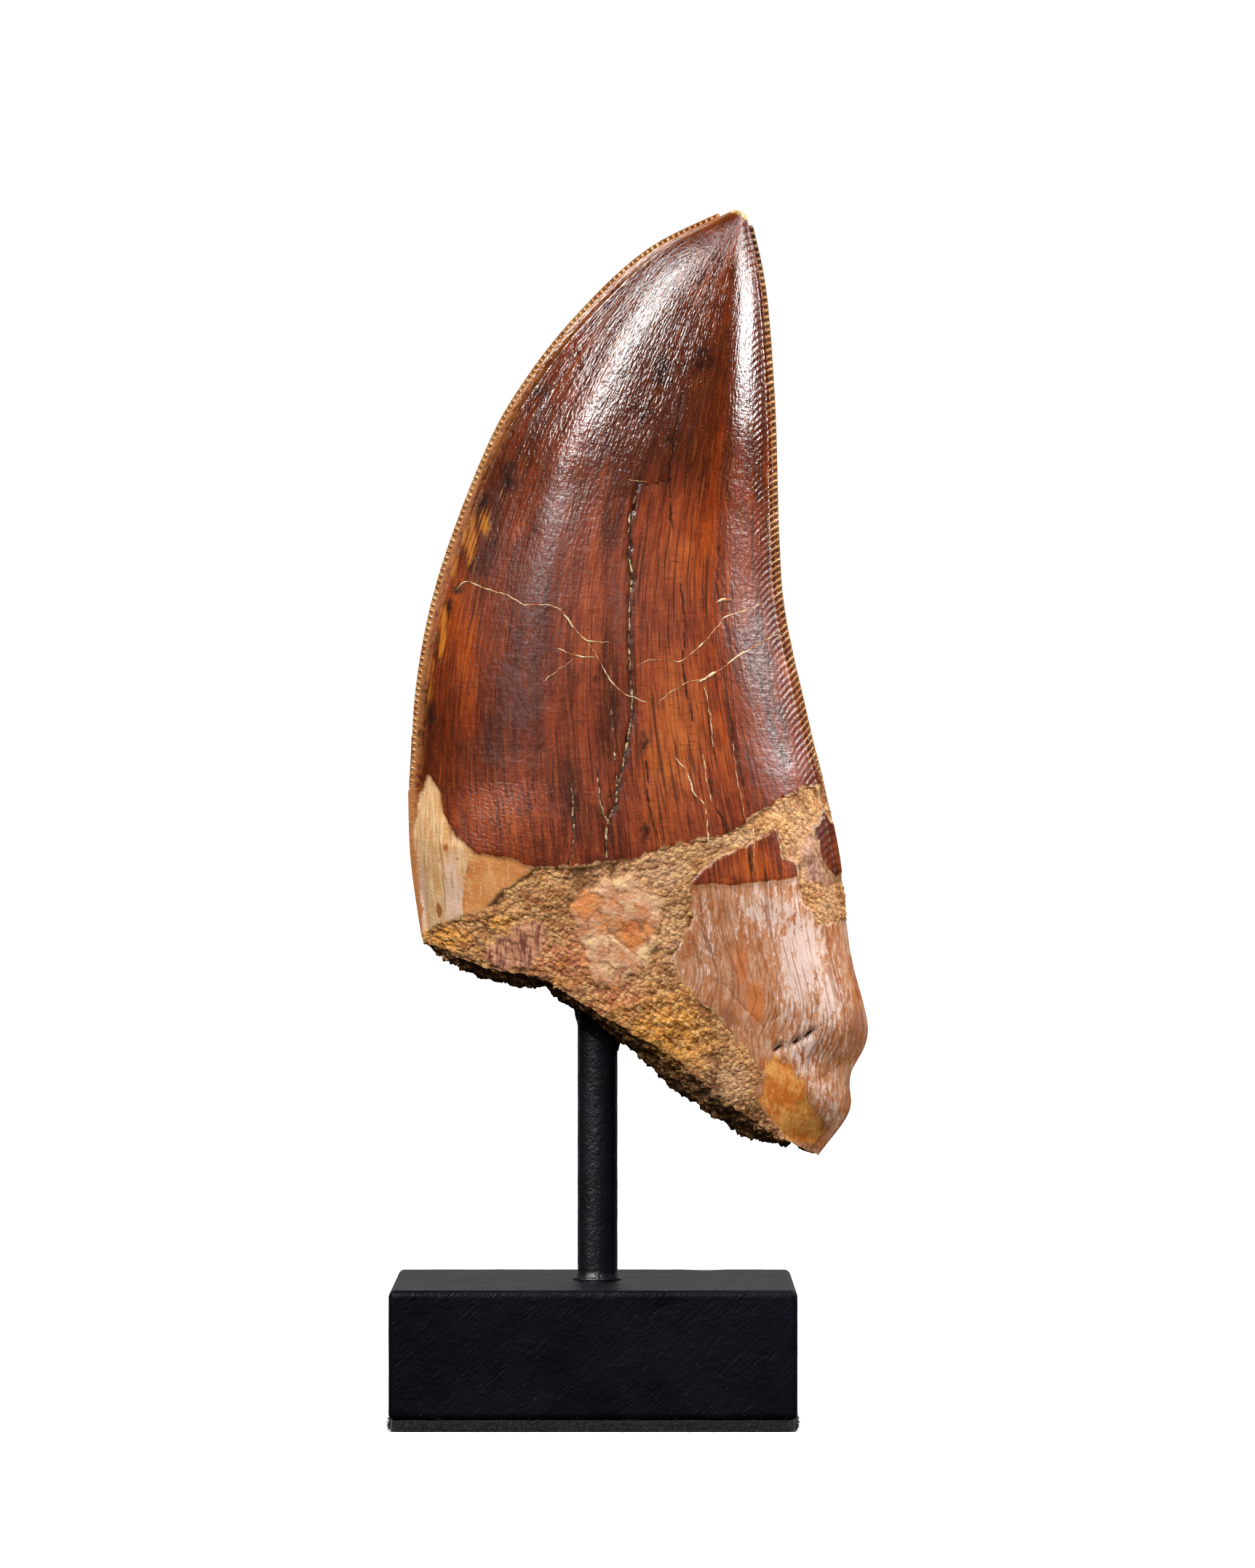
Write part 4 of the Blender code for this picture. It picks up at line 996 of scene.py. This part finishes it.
# Both edges of the crown draw back to make room for the denticles
for rim, nearness in ((-1, from_mesial), (1, from_distal)):
    heading = edge_at(rim, station + NEXT_STATION)
    heading -= edge_at(rim, np.maximum(station - NEXT_STATION, 0.0))
    heading /= np.linalg.norm(heading, axis=-1)[:, None]
    pull = DENTICLE_GAP * ramp(nearness, 0.5, 0.0) * ramp(station, 1.06, 1.0)
    moved[:, 0] += heading[:, 1] * rim * pull
    moved[:, 2] -= heading[:, 0] * rim * pull
set_places(tooth_mesh, moved)
tip_wear = course_distance(spots, TIP_WEAR, 0.1)
draw(tooth_mesh, across=u * MEAN_WIDTH, along=along, from_mesial=from_mesial, from_distal=from_distal,
     stone_in=stone_in, bare=bare, flake=np.where(front, flake, -FAR), peach=np.where(front, peach, -FAR),
     amber_end=amber_end, main_crack=main, fine_crack=fine_crack, gap=gap, seam=seam,
     orange=np.where(front, marked(spots, ORANGE_MARKS), 0.5),
     dark=np.where(front, marked(spots, DARK_MARKS), 0.2), shaded=marked(spots, SHADED_MARKS),
     amber=np.where(front, marked(spots, AMBER_MARKS), 0.0),
     mauve=np.where(front, marked(spots, MAUVE_FILM_AND_SHEEN_MARKS), 0.35), tip_wear=tip_wear, broken=broken,
     facing=np.where(front, 1.0, 0.0), orange_root=marked(spots, ORANGE_ROOT),
     brown_root=marked(spots, BROWN_ROOT), pearl_root=marked(spots, PEARL_WHITE_AND_SHEEN_MARKS),
     rusty=marked(spots, RUSTY_FLAKE), lilac=marked(spots, LILAC_FLAKE))

enamel = Finish("enamel_and_dentine", {"IOR": 1.6, "Specular IOR Level": 0.75})
grown = enamel.node("CombineXYZ", None, {0: enamel.drawn("across"), 1: enamel.drawn("facing") * 20.0,
                                         2: enamel.drawn("along")})
wrinkles = enamel.cloud((0.32, 1.0, 0.5), 2.5, 7.0, grown)
ribs = enamel.cloud((0.2, 1.0, 2.2), 2.0, 1.0, grown)
hairlines = enamel.cloud((0.14, 1.0, 5.0), 1.0, 12.0, grown)
wide_streaks = enamel.cloud((1.4, 1.0, 9.0), 4.0, 4.0, grown, 0.6)
net = enamel.cloud((1.1, 1.0, 0.14), 2.0, 15.0, grown)
blotches = enamel.cloud(1.7, 6.0, 2.0, roughness=0.68)
ragged = enamel.cloud((0.6, 0.6, 0.9), 6.0, 9.0, roughness=0.72)
speckle = enamel.cloud(0.16, 2.0, 5.0)
flakes = enamel.cloud((0.3, 0.8, 0.9), 6.0, 41.0, roughness=0.75)

# Enamel: red-brown with ribs, hairlines, dark and amber marks, a light margin, cracks and a mauve film with
# painted sheen
warmth = (enamel.drawn("orange") * 0.75 - enamel.drawn("shaded") * 0.5 + 0.12
          + (wide_streaks - 0.5) * 1.2 + (blotches - 0.5) * 0.8)
# The mauve film is partly the enamel's own film and partly painted sheen
mauve_film_and_sheen = (enamel.drawn("mauve") * 0.3 + ragged * 0.7 + wrinkles * 0.3).between(0.62, 0.82)
dark_mark = (enamel.drawn("dark") * 0.34 + blotches * 0.6 + ragged * 0.4).between(0.69, 0.86)
amber_mark = (enamel.drawn("amber") * 0.4 + flakes * 0.4 + ribs * 0.6).between(0.7, 0.98)
from_mesial_edge = enamel.drawn("from_mesial")
margin = from_mesial_edge.between(1.5, 0.5) * (blotches * 0.5 + wrinkles * 0.5).between(0.4, 0.55)
main_crack = enamel.drawn("main_crack")
brown = enamel.painted(
    enamel.graded(warmth, (0.0, 74, 25, 6), (0.3, 120, 42, 6), (0.6, 150, 59, 4), (1.0, 184, 88, 6)),
    (ribs.between(0.53, 0.68) * (enamel.drawn("orange") * 0.3 + 0.16), 188, 98, 22),
    (ribs.between(0.48, 0.34) * 0.5, 82, 32, 14),
    (net.between(0.58, 0.7) * blotches.between(0.4, 0.55) * 0.55, 70, 28, 14),
    (hairlines.between(0.56, 0.64) * 0.75, 56, 22, 10),
    (speckle.between(0.56, 0.75) * 0.22, 184, 94, 24),
    (mauve_film_and_sheen * 0.42, 98, 54, 46),
    (dark_mark * 0.9, 34, 14, 7),
    (amber_mark * 0.8, 202, 122, 36),
    (margin * 0.65, 178, 104, 42),
    (from_mesial_edge.between(0.8, 0.3) * 0.6, 186, 124, 66),
    ((main_crack + (ragged - 0.5) * 0.9).between(0.5, 0.0) * 0.6, 58, 24, 16),
    ((main_crack + (wrinkles - 0.5) * 0.2).between(0.16, 0.04) * 0.9, 26, 14, 10),
    ((enamel.drawn("fine_crack") + (wrinkles - 0.5) * 0.25).between(0.15, 0.03) * 0.85, 34, 14, 8),
    ((enamel.drawn("tip_wear") + (ragged - 0.5) * 1.2).between(0.45, 0.25), 236, 196, 130))

# Bare dentine: pearly root with painted sheen in its whitest patches, cream and peach flakes and the amber
# end
silk = enamel.cloud((0.26, 1.0, 2.2), 4.0, 21.0, roughness=0.65)
veil = enamel.cloud((1.2, 1.0, 2.6), 5.0, 26.0, roughness=0.7)
rear = enamel.drawn("facing").between(0.5, 0.0)
pearly = enamel.painted(
    enamel.graded(silk * 0.35 + veil * 0.4 + ragged * 0.25, (0.38, 150, 78, 34), (0.46, 176, 110, 64),
                  (0.53, 190, 138, 104), (0.64, 214, 180, 152)),
    # Partly painted sheen: the whitest patches of the pearly root
    ((enamel.drawn("pearl_root") * 0.25 + flakes).between(0.58, 0.66) * 0.8, 222, 196, 184),
    ((enamel.drawn("orange_root") * 0.3 + veil * 0.7).between(0.5, 0.62) * 0.85, 196, 108, 48),
    (rear * wide_streaks.between(0.42, 0.62) * 0.6, 164, 96, 50),
    (rear * (flakes * 0.5 + veil * 0.5).between(0.52, 0.6) * 0.6, 222, 190, 160),
    (hairlines.between(0.55, 0.63) * 0.6, 132, 76, 40),
    ((enamel.drawn("brown_root") * 0.4 + ragged * 0.6).between(0.5, 0.66) * 0.75, 136, 82, 58))
cream = enamel.painted(
    enamel.blend(silk.between(0.35, 0.65), colour(212, 156, 100), colour(234, 196, 148)),
    ((enamel.drawn("lilac") * 0.5 + ragged * 0.5).between(0.4, 0.62) * 0.9, 224, 186, 162),
    ((enamel.drawn("rusty") * 0.5 + ragged * 0.5).between(0.52, 0.66) * 0.9, 160, 88, 36),
    (hairlines.between(0.62, 0.7) * 0.5, 140, 88, 52))
peachy = enamel.painted(
    enamel.blend(blotches.between(0.36, 0.62), colour(216, 152, 90), colour(204, 126, 66)),
    (flakes.between(0.56, 0.62) * 0.7, 232, 190, 144))
gold_share = (flakes * 0.5 + blotches * 0.5).between(0.42, 0.58)
amber_gold = enamel.painted(
    enamel.blend(gold_share, colour(222, 160, 82), colour(194, 104, 38)),
    (ragged.between(0.58, 0.7) * 0.5, 224, 184, 120))
in_amber = (enamel.drawn("amber_end") + (ragged - 0.5) * 2.0).between(-0.12, 0.12)
dentine = enamel.blend(enamel.drawn("flake").between(-0.08, 0.08), pearly, cream)
dentine = enamel.blend((enamel.drawn("peach") + (ragged - 0.5) * 0.8).between(-0.1, 0.1), dentine, peachy)
dentine = enamel.painted(
    enamel.blend(in_amber, dentine, amber_gold),
    ((enamel.drawn("seam") + (wrinkles - 0.5) * 0.3).between(0.14, 0.03) * 0.65, 122, 72, 42),
    # Painted shade: the open gaps in the root are coloured near black
    (enamel.drawn("gap").between(0.16, 0.06), 34, 18, 10),
    (enamel.drawn("broken") * 0.7, 176, 130, 84))

# The two together, with a pale rim between them and dust where the stone begins
ragged_bare = enamel.drawn("bare") + (ragged - 0.5) * 0.7
is_bare = ragged_bare.between(-0.03, 0.03)
at_stone = (enamel.drawn("stone_in") + (ragged - 0.5) * 0.9).between(-0.25, -0.05)
brown = enamel.painted(brown, (ragged_bare.between(-0.14, -0.04) * (1 - is_bare) * 0.6, 196, 140, 92))
dusty = enamel.blend(ragged.between(0.4, 0.6), colour(150, 102, 60), colour(204, 160, 108))
surface = enamel.blend(at_stone * 0.85, enamel.blend(is_bare, brown, dentine), dusty)
enamel.feed("Base Color", surface)
matt = enamel.drawn("along").between(20.0, 34.0) * (1 - is_bare)
enamel.feed("Roughness", 0.13 + mauve_film_and_sheen * 0.08 + is_bare * 0.14 + blotches * 0.1
            + at_stone * 0.4 + matt * 0.16)
# Fine arcs run in from the distal denticles and bend towards the root
arcs = enamel.drawn("from_distal")
arcs = enamel.drawn("along") * (DISTAL_DENTICLES / CROWN_LENGTH) - arcs * arcs * 0.55 - arcs * 0.4
arc_wave = enamel.node("Math", {"operation": "SINE"}, {0: arcs * math.tau})
arc_zone = (enamel.drawn("from_distal") + (blotches - 0.5) * 3.0).between(2.3, 0.8) * (1 - is_bare)
enamel.relief(wrinkles * 0.045 + ribs * 0.02 + net * 0.012 + arc_wave * arc_zone * 0.011
              + is_bare * silk * 0.04)

tooth = wrap_piece(tooth_mesh, "fossil_tooth", enamel, 62)
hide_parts("tooth")


# The serrations
# Rows of denticles along both edges of the crown, part of the enamel. Each is a rounded
# bar across the keel, which runs out inwards as a wrinkle that bends towards the root.

WORN_DENTICLES = 22
DENTICLE_FULLNESS = 0.85
DENTICLE_HALF_LENGTH = 0.37
DENTICLE_LEAST_HALF = 0.3
DENTICLE_SIZES = (0.85, 1.08)
# Each row's shape as four lists of (station, value): how far in the denticles reach, how
# much they bend, how proud they stand and how worn they are
MESIAL_SHAPE = [[(0.0, 0.75), (1.0, 0.95)], [(0.0, 0.15), (1.0, 0.15)],
                [(0.0, 0.08), (0.7, 0.07), (1.0, 0.03)], [(0.0, 0.0), (0.7, 0.03), (1.0, 0.14)]]
DISTAL_SHAPE = [[(0.0, 0.7), (0.2, 1.1), (0.5, 1.5), (1.0, 2.1)],
                [(0.0, 0.1), (0.3, 0.35), (0.6, 0.6), (1.0, 0.8)],
                [(0.0, 0.1), (1.0, 0.1)], [(0.0, 0.0), (0.85, 0.0), (1.0, 0.08)]]
WORN_SHAPE = [[(1.0, 0.7), (1.4, 0.5)], [(1.0, 0.1), (1.4, 0.1)], [(1.0, 0.02), (1.4, -0.02)],
              [(1.0, 0.1), (1.4, 0.0)]]


def denticle_row(name, finish, rim, count, first, last, shape):
    """Bars across an edge, from the first station to the last."""
    random = np.random.default_rng(count)
    bm = bmesh.new()
    for _ in range(count):
        bmesh.ops.create_uvsphere(bm, u_segments=10, v_segments=9, radius=MM)
    mesh = bpy.data.meshes.new(name)
    bm.to_mesh(mesh)
    bm.free()
    ball = places_of(mesh)
    number = np.arange(len(ball)) * count // len(ball)
    boxy = np.sign(ball) * np.abs(ball) ** DENTICLE_FULLNESS
    step = (last - first) / count
    station = (first + (np.arange(count) + 0.5) * step)[number]
    tint = random.uniform(0.0, 1.0, count)[number]
    size = random.uniform(*DENTICLE_SIZES, count)[number]
    here = edge_at(rim, station)
    heading = edge_at(rim, station + step / 2) - edge_at(rim, station - step / 2)
    pitch = np.linalg.norm(heading, axis=1)
    heading /= pitch[:, None]
    outwards = np.stack([-heading[:, 1], heading[:, 0]], -1) * rim
    reach_in, bend, proud, worn = [np.interp(station, *np.array(stops).T) for stops in shape]
    inward = (1.0 - boxy[:, 2]) / 2
    reach = inward * reach_in * size + worn + 0.03 * (1.1 - size)
    fall = bend * reach ** 1.5
    along = fall + boxy[:, 0] * DENTICLE_HALF_LENGTH * pitch * size
    flat = here - outwards * reach[:, None] + heading * along[:, None]
    width = np.linalg.norm(edge_at(1, station) - edge_at(-1, station), axis=1)
    share = reach / width
    body = half_thickness(share if rim < 0 else 1.0 - share, station)
    half = np.maximum(body + proud * (1.0 - 2.2 * inward ** 2), DENTICLE_LEAST_HALF * size)
    deep = eased(LEAN, station) + boxy[:, 1] * half
    set_places(mesh, np.stack([flat[:, 0], deep, flat[:, 1]], -1))
    draw(mesh, tint=tint, inward=inward, along=station * CROWN_LENGTH)
    piece = wrap_piece(mesh, name, finish)


def denticle_finish(name, stops, root_colour, tip_colour):
    """Enamel of the denticles: light at the outer end, going over to the flank's brown."""
    finish = Finish(name, {"Roughness": 0.24, "IOR": 1.6, "Specular IOR Level": 0.75})
    shade = finish.drawn("tint") * 0.5 + finish.cloud(2.4, 3.0) * 0.9 - 0.2
    finish.feed("Base Color", finish.painted(
        finish.graded(shade, *stops),
        (finish.cloud(0.22, 2.0, 4.0).between(0.52, 0.66) * 0.45, 120, 62, 28),
        (finish.drawn("inward").between(0.3, 0.8), *root_colour),
        (finish.drawn("along").between(5.5, 2.5) * 0.8, *tip_colour)))
    finish.relief(finish.cloud(0.14, 2.0) * 0.04)
    return finish


mesial_beads = denticle_finish(
    "mesial_denticle_enamel",
    [(0.0, 150, 92, 52), (0.35, 188, 128, 76), (0.65, 210, 160, 104), (1.0, 228, 196, 150)],
    (164, 92, 42), (188, 118, 62))
distal_beads = denticle_finish(
    "distal_denticle_enamel",
    [(0.0, 128, 78, 46), (0.35, 166, 112, 68), (0.65, 190, 142, 94), (1.0, 212, 176, 132)],
    (126, 62, 34), (104, 66, 48))
denticle_row("mesial_denticles", mesial_beads, -1, MESIAL_DENTICLES, 0.015, 1.0, MESIAL_SHAPE)
denticle_row("distal_denticles", distal_beads, 1, DISTAL_DENTICLES, 0.01, 0.985, DISTAL_SHAPE)
denticle_row("worn_mesial_denticles", mesial_beads, -1, WORN_DENTICLES, 1.0, 1.36, WORN_SHAPE)


# The crack fillings
# Cream mineral that seeped into the cracks and stands a hair above the enamel, and the
# grey crumbs that fill the long crack down the middle.

# Courses of (X, Z), each with the radius of its rope and a seed
VEINS = [
    ([(-11.4, 65.5), (-10.8, 65.6), (-10.4, 66.1), (-9.8, 66.2), (-8.7, 65.7), (-7.2, 65.2), (-6.2, 64.7),
      (-5.5, 64.3), (-4.5, 64.3), (-3.5, 64.2), (-2.8, 64.0), (-2.4, 63.7), (-1.3, 62.2), (-0.4, 61.4),
      (1.3, 61.4)], 0.065, 1),
    ([(-2.9, 60.9), (-1.6, 60.3), (0.2, 60.1)], 0.06, 2),
    ([(-1.6, 60.1), (-2.8, 59.1), (-4.0, 58.2)], 0.04, 3),
    ([(-0.4, 61.4), (0.6, 59.6), (1.6, 58.0), (2.6, 57.2), (4.2, 56.6)], 0.045, 4),
    ([(3.3, 59.5), (4.8, 60.0), (6.9, 59.9), (8.1, 60.9), (8.9, 61.6), (9.7, 62.6), (10.3, 63.3),
      (11.4, 63.7), (12.2, 64.0), (13.4, 64.4)], 0.05, 6),
    ([(4.8, 56.4), (6.0, 57.3), (7.5, 58.2), (8.7, 58.5), (10.3, 59.4), (11.4, 60.3), (12.6, 61.0),
      (13.9, 61.7), (14.9, 62.2)], 0.05, 7),
    ([(9.6, 64.5), (10.3, 64.7), (11.0, 64.6)], 0.13, 17),
    ([(8.2, 58.2), (9.0, 58.6), (9.8, 59.1)], 0.11, 18),
    ([(2.7, 74.15), (3.5, 74.0), (4.3, 73.9)], 0.05, 8),
    ([(8.7, 57.9), (9.2, 55.3), (9.4, 53.0)], 0.04, 9),
    ([(8.6, 52.6), (8.9, 50.4), (9.3, 48.6)], 0.038, 10),
    ([(10.9, 53.4), (11.4, 50.0), (11.9, 47.4)], 0.034, 11),
    ([(6.4, 52.4), (7.4, 50.9), (8.0, 49.3), (8.8, 48.3), (9.0, 45.5)], 0.06, 12),
    ([(12.5, 47.2), (12.6, 45.0), (12.5, 42.6)], 0.034, 13),
    ([(14.4, 46.8), (14.8, 45.0), (15.2, 43.9)], 0.08, 14),
]
# How far a rope of mineral stands above the enamel, how far the crumbs lie below it, and
# the radius of the crumbs in the long crack, in its lower half and in the dark cracks
VEIN_LIFT = 0.015
CRUMB_DEPTHS = (0.16, 0.1, 0.04)
CRUMB_RADII = (0.11, 0.1, 0.08)
ROPE_STEP = 0.11
ROPE_SIDES = 7
LEAST_RADIUS = 0.012
HALVINGS = 34


def surface_at(x, z):
    """Fraction of the width and station of the front surface at (X, Z)."""
    low = np.zeros(len(x))
    high = np.full(len(x), 2.0)
    for _ in range(HALVINGS):
        middle = (low + high) / 2
        mesial = edge_at(-1, middle)
        distal = edge_at(1, middle)
        u = np.clip((x - mesial[:, 0]) / (distal[:, 0] - mesial[:, 0]), 0.0, 1.0)
        above = front_view(u, middle)[:, 1] > z
        low = np.where(above, middle, low)
        high = np.where(above, high, middle)
    return u, middle


def vein_rope(course, radius, lift, seed):
    """A thin uneven rope of mineral along a course on the front of the tooth, thinner here and there."""
    line = smooth_line(course)
    count = int(line.length / ROPE_STEP) + 2
    fraction = np.linspace(0.0, 1.0, count)
    flat = line(fraction)
    spots = np.stack([flat[:, 0], np.zeros(count), flat[:, 1]], -1)
    wander = np.stack([waves(spots, 0.8, seed), waves(spots, 0.8, seed + 20.0)], -1) * 0.11
    wander += np.stack([waves(spots, 0.3, seed + 4.0), waves(spots, 0.3, seed + 9.0)], -1) * 0.06
    flat = flat + wander
    u, station = surface_at(flat[:, 0], flat[:, 1])
    y = eased(LEAN, station) - half_thickness(u, station)
    places = np.stack([flat[:, 0], y, flat[:, 1]], -1)
    y = y - crest_rise(places) - broad_swell(places)
    thick = radius * (1.0 + 0.75 * waves(spots, 0.5, seed + 3.0) + 0.5 * waves(spots, 2.0, seed + 5.0))
    thick *= ramp(waves(spots, 1.3, seed + 8.0), -0.42, -0.12) * 0.4 + 0.6
    thick *= np.sin(np.pi * np.clip(fraction, 0.03, 0.97)) ** 0.35
    centres = np.stack([flat[:, 0], y - lift, flat[:, 1]], -1)
    return centres, np.maximum(thick, LEAST_RADIUS)


def ropes(name, finish, courses):
    """Closed ropes from (centres, radii), each a grid rolled round its course."""
    bm = bmesh.new()
    for centres, radii in courses:
        count = len(centres)
        heading = np.gradient(centres, axis=0)
        heading /= np.linalg.norm(heading, axis=1)[:, None]
        across = np.cross(heading, (0.0, 1.0, 0.0))
        across /= np.linalg.norm(across, axis=1)[:, None]
        out = np.cross(across, heading)
        grid = bmesh.ops.create_grid(bm, x_segments=ROPE_SIDES, y_segments=count - 1, size=0.5)["verts"]
        for vert in grid:
            turn = math.tau * (vert.co.x + 0.5)
            i = round((vert.co.y + 0.5) * (count - 1))
            radius = 0.0 if i in (0, count - 1) else radii[i]
            spot = centres[i] + (across[i] * math.cos(turn) + out[i] * math.sin(turn) * 0.7) * radius
            vert.co = Vector(spot) * MM
    bmesh.ops.remove_doubles(bm, verts=bm.verts, dist=0.2e-6)
    bmesh.ops.recalc_face_normals(bm, faces=bm.faces)
    piece = new_piece(bm, name, finish)


mineral = Finish("cream_mineral", {"Roughness": 0.75})
mineral.feed("Base Color", mineral.blend(mineral.cloud(0.7, 3.0).between(0.38, 0.6), colour(160, 92, 48),
                                         colour(226, 204, 160)))
mineral.relief(mineral.cloud(0.15, 3.0) * 0.06)
ropes("cream_veins", mineral, [vein_rope(course, radius, VEIN_LIFT, seed) for course, radius, seed in VEINS])

ash = Finish("grey_crumbs", {"Roughness": 0.85})
crumb_shade = ash.node("SeparateColor", None, {0: ash.cells(0.3, 3.0, "Color")})
ash.feed("Base Color", ash.graded(crumb_shade * 0.7 + (ash.cloud(1.4, 3.0, 2.0) - 0.35) * 0.9,
                                  (0.0, 30, 20, 15), (0.45, 84, 66, 48), (0.7, 178, 154, 116),
                                  (1.0, 226, 208, 168)))
ash.relief(ash.cloud(0.14, 3.0) * 0.12)
main_ropes = [vein_rope(MAIN_CRACK[2:], CRUMB_RADII[0], -CRUMB_DEPTHS[0], 21),
              vein_rope(MAIN_CRACK[9:], CRUMB_RADII[1], -CRUMB_DEPTHS[1], 24)]
for number, course in enumerate(DARK_CRACKS[:3]):
    main_ropes.append(vein_rope(course, CRUMB_RADII[2], -CRUMB_DEPTHS[2], 30 + number))
ropes("crack_crumbs", ash, main_ropes)


# The studio
# A tall softbox high on the left, a small near one on the right, a faint glow behind,
# fills that the enamel doesn't mirror, and a soft top light. The white floor and room
# give the object no light.

CAMERA_PLACE = (2.67, -724.0, 50.2)
CAMERA_LENS = 210.0
SENSOR = 36.0
FLOOR_SIZE = 12.0
TOP_LIGHT_ANGLE = 70
TOP_LIGHT_TILT = (28, -12, 0)
AIM_HEIGHT = 55.0
# Each light's azimuth and elevation seen from the object, its distance in mm, its width
# and height in m, its watts, and whether the enamel mirrors it
SOFTBOXES = [
    ("key_softbox", -36, 43, 1150, (0.24, 0.48), 12.0, True),
    ("side_softbox", 88, 28, 126, (0.045, 0.034), 0.12, True),
    ("right_fill", 80, 20, 1000, (0.5, 0.6), 5.0, False),
    ("front_fill", 8, 16, 1300, (0.9, 0.9), 7.0, False),
    ("backdrop_glow", 180, 12, 700, (1.2, 0.5), 0.8, True),
    ("rear_fill", 170, 30, 1300, (0.9, 0.9), 6.0, False),
]

view_camera = bpy.data.cameras.new("front_camera")
view_camera.lens = CAMERA_LENS
view_camera.sensor_width = SENSOR
view_camera.clip_end = 50.0
camera = bpy.data.objects.new("front_camera", view_camera)
camera.location = Vector(CAMERA_PLACE) * MM
camera.rotation_euler = (math.pi / 2, 0.0, 0.0)
bpy.context.scene.collection.objects.link(camera)
bpy.context.scene.camera = camera

for name, azimuth, elevation, distance, (wide, tall), power, mirrored in SOFTBOXES:
    light = bpy.data.lights.new(name, "AREA")
    light.shape = "RECTANGLE"
    light.size = wide
    light.size_y = tall
    light.energy = power
    box = bpy.data.objects.new(name, light)
    azimuth = math.radians(azimuth)
    elevation = math.radians(elevation)
    away = Vector((math.sin(azimuth) * math.cos(elevation), -math.cos(azimuth) * math.cos(elevation),
                   math.sin(elevation)))
    box.location = away * distance * MM + Vector((0.0, 0.0, AIM_HEIGHT * MM))
    box.rotation_mode = "QUATERNION"
    box.rotation_quaternion = (-away).to_track_quat("-Z", "Y")
    box.visible_glossy = mirrored
    box.visible_camera = False
    bpy.context.scene.collection.objects.link(box)

top = bpy.data.lights.new("top_light", "SUN")
top.energy = 1.1
top.angle = math.radians(TOP_LIGHT_ANGLE)
top_light = bpy.data.objects.new("top_light", top)
top_light.rotation_euler = [math.radians(turn) for turn in TOP_LIGHT_TILT]
top_light.visible_glossy = False
bpy.context.scene.collection.objects.link(top_light)

floor_finish = Finish("pale_floor", {"Roughness": 0.9})
floor_finish.feed("Base Color", floor_finish.blend(floor_finish.cloud(90.0, 2.0), colour(238, 238, 237),
                                                   colour(243, 243, 242)))
floor_finish.shader.inputs["Emission Strength"].default_value = 1.0
from_object = floor_finish.node("VectorMath", {"operation": "LENGTH"}, {0: floor_finish.place}, 1)
nearness = from_object.between(60.0, 700.0)
floor_finish.feed("Emission Color", floor_finish.blend(nearness, (0.62, 0.62, 0.62, 1.0), (1.0,) * 4))
floor_mesh = bmesh.new()
bmesh.ops.create_grid(floor_mesh, x_segments=24, y_segments=24, size=FLOOR_SIZE)
floor_sheet = bpy.data.meshes.new("pale_floor")
floor_mesh.to_mesh(floor_sheet)
floor_mesh.free()
floor_sheet.materials.append(floor_finish.material)
floor = bpy.data.objects.new("pale_floor", floor_sheet)
bpy.context.scene.collection.objects.link(floor)
floor.visible_diffuse = False
floor.visible_glossy = False

world = bpy.data.worlds.new("white_room")
bpy.context.scene.world = world
world.use_nodes = True
world.node_tree.nodes["Background"].inputs["Color"].default_value = (1.0, 1.0, 1.0, 1.0)
world.node_tree.nodes["Background"].inputs["Strength"].default_value = 1.0
world.cycles_visibility.diffuse = False
world.cycles_visibility.glossy = False
bpy.context.scene.view_settings.view_transform = "Standard"
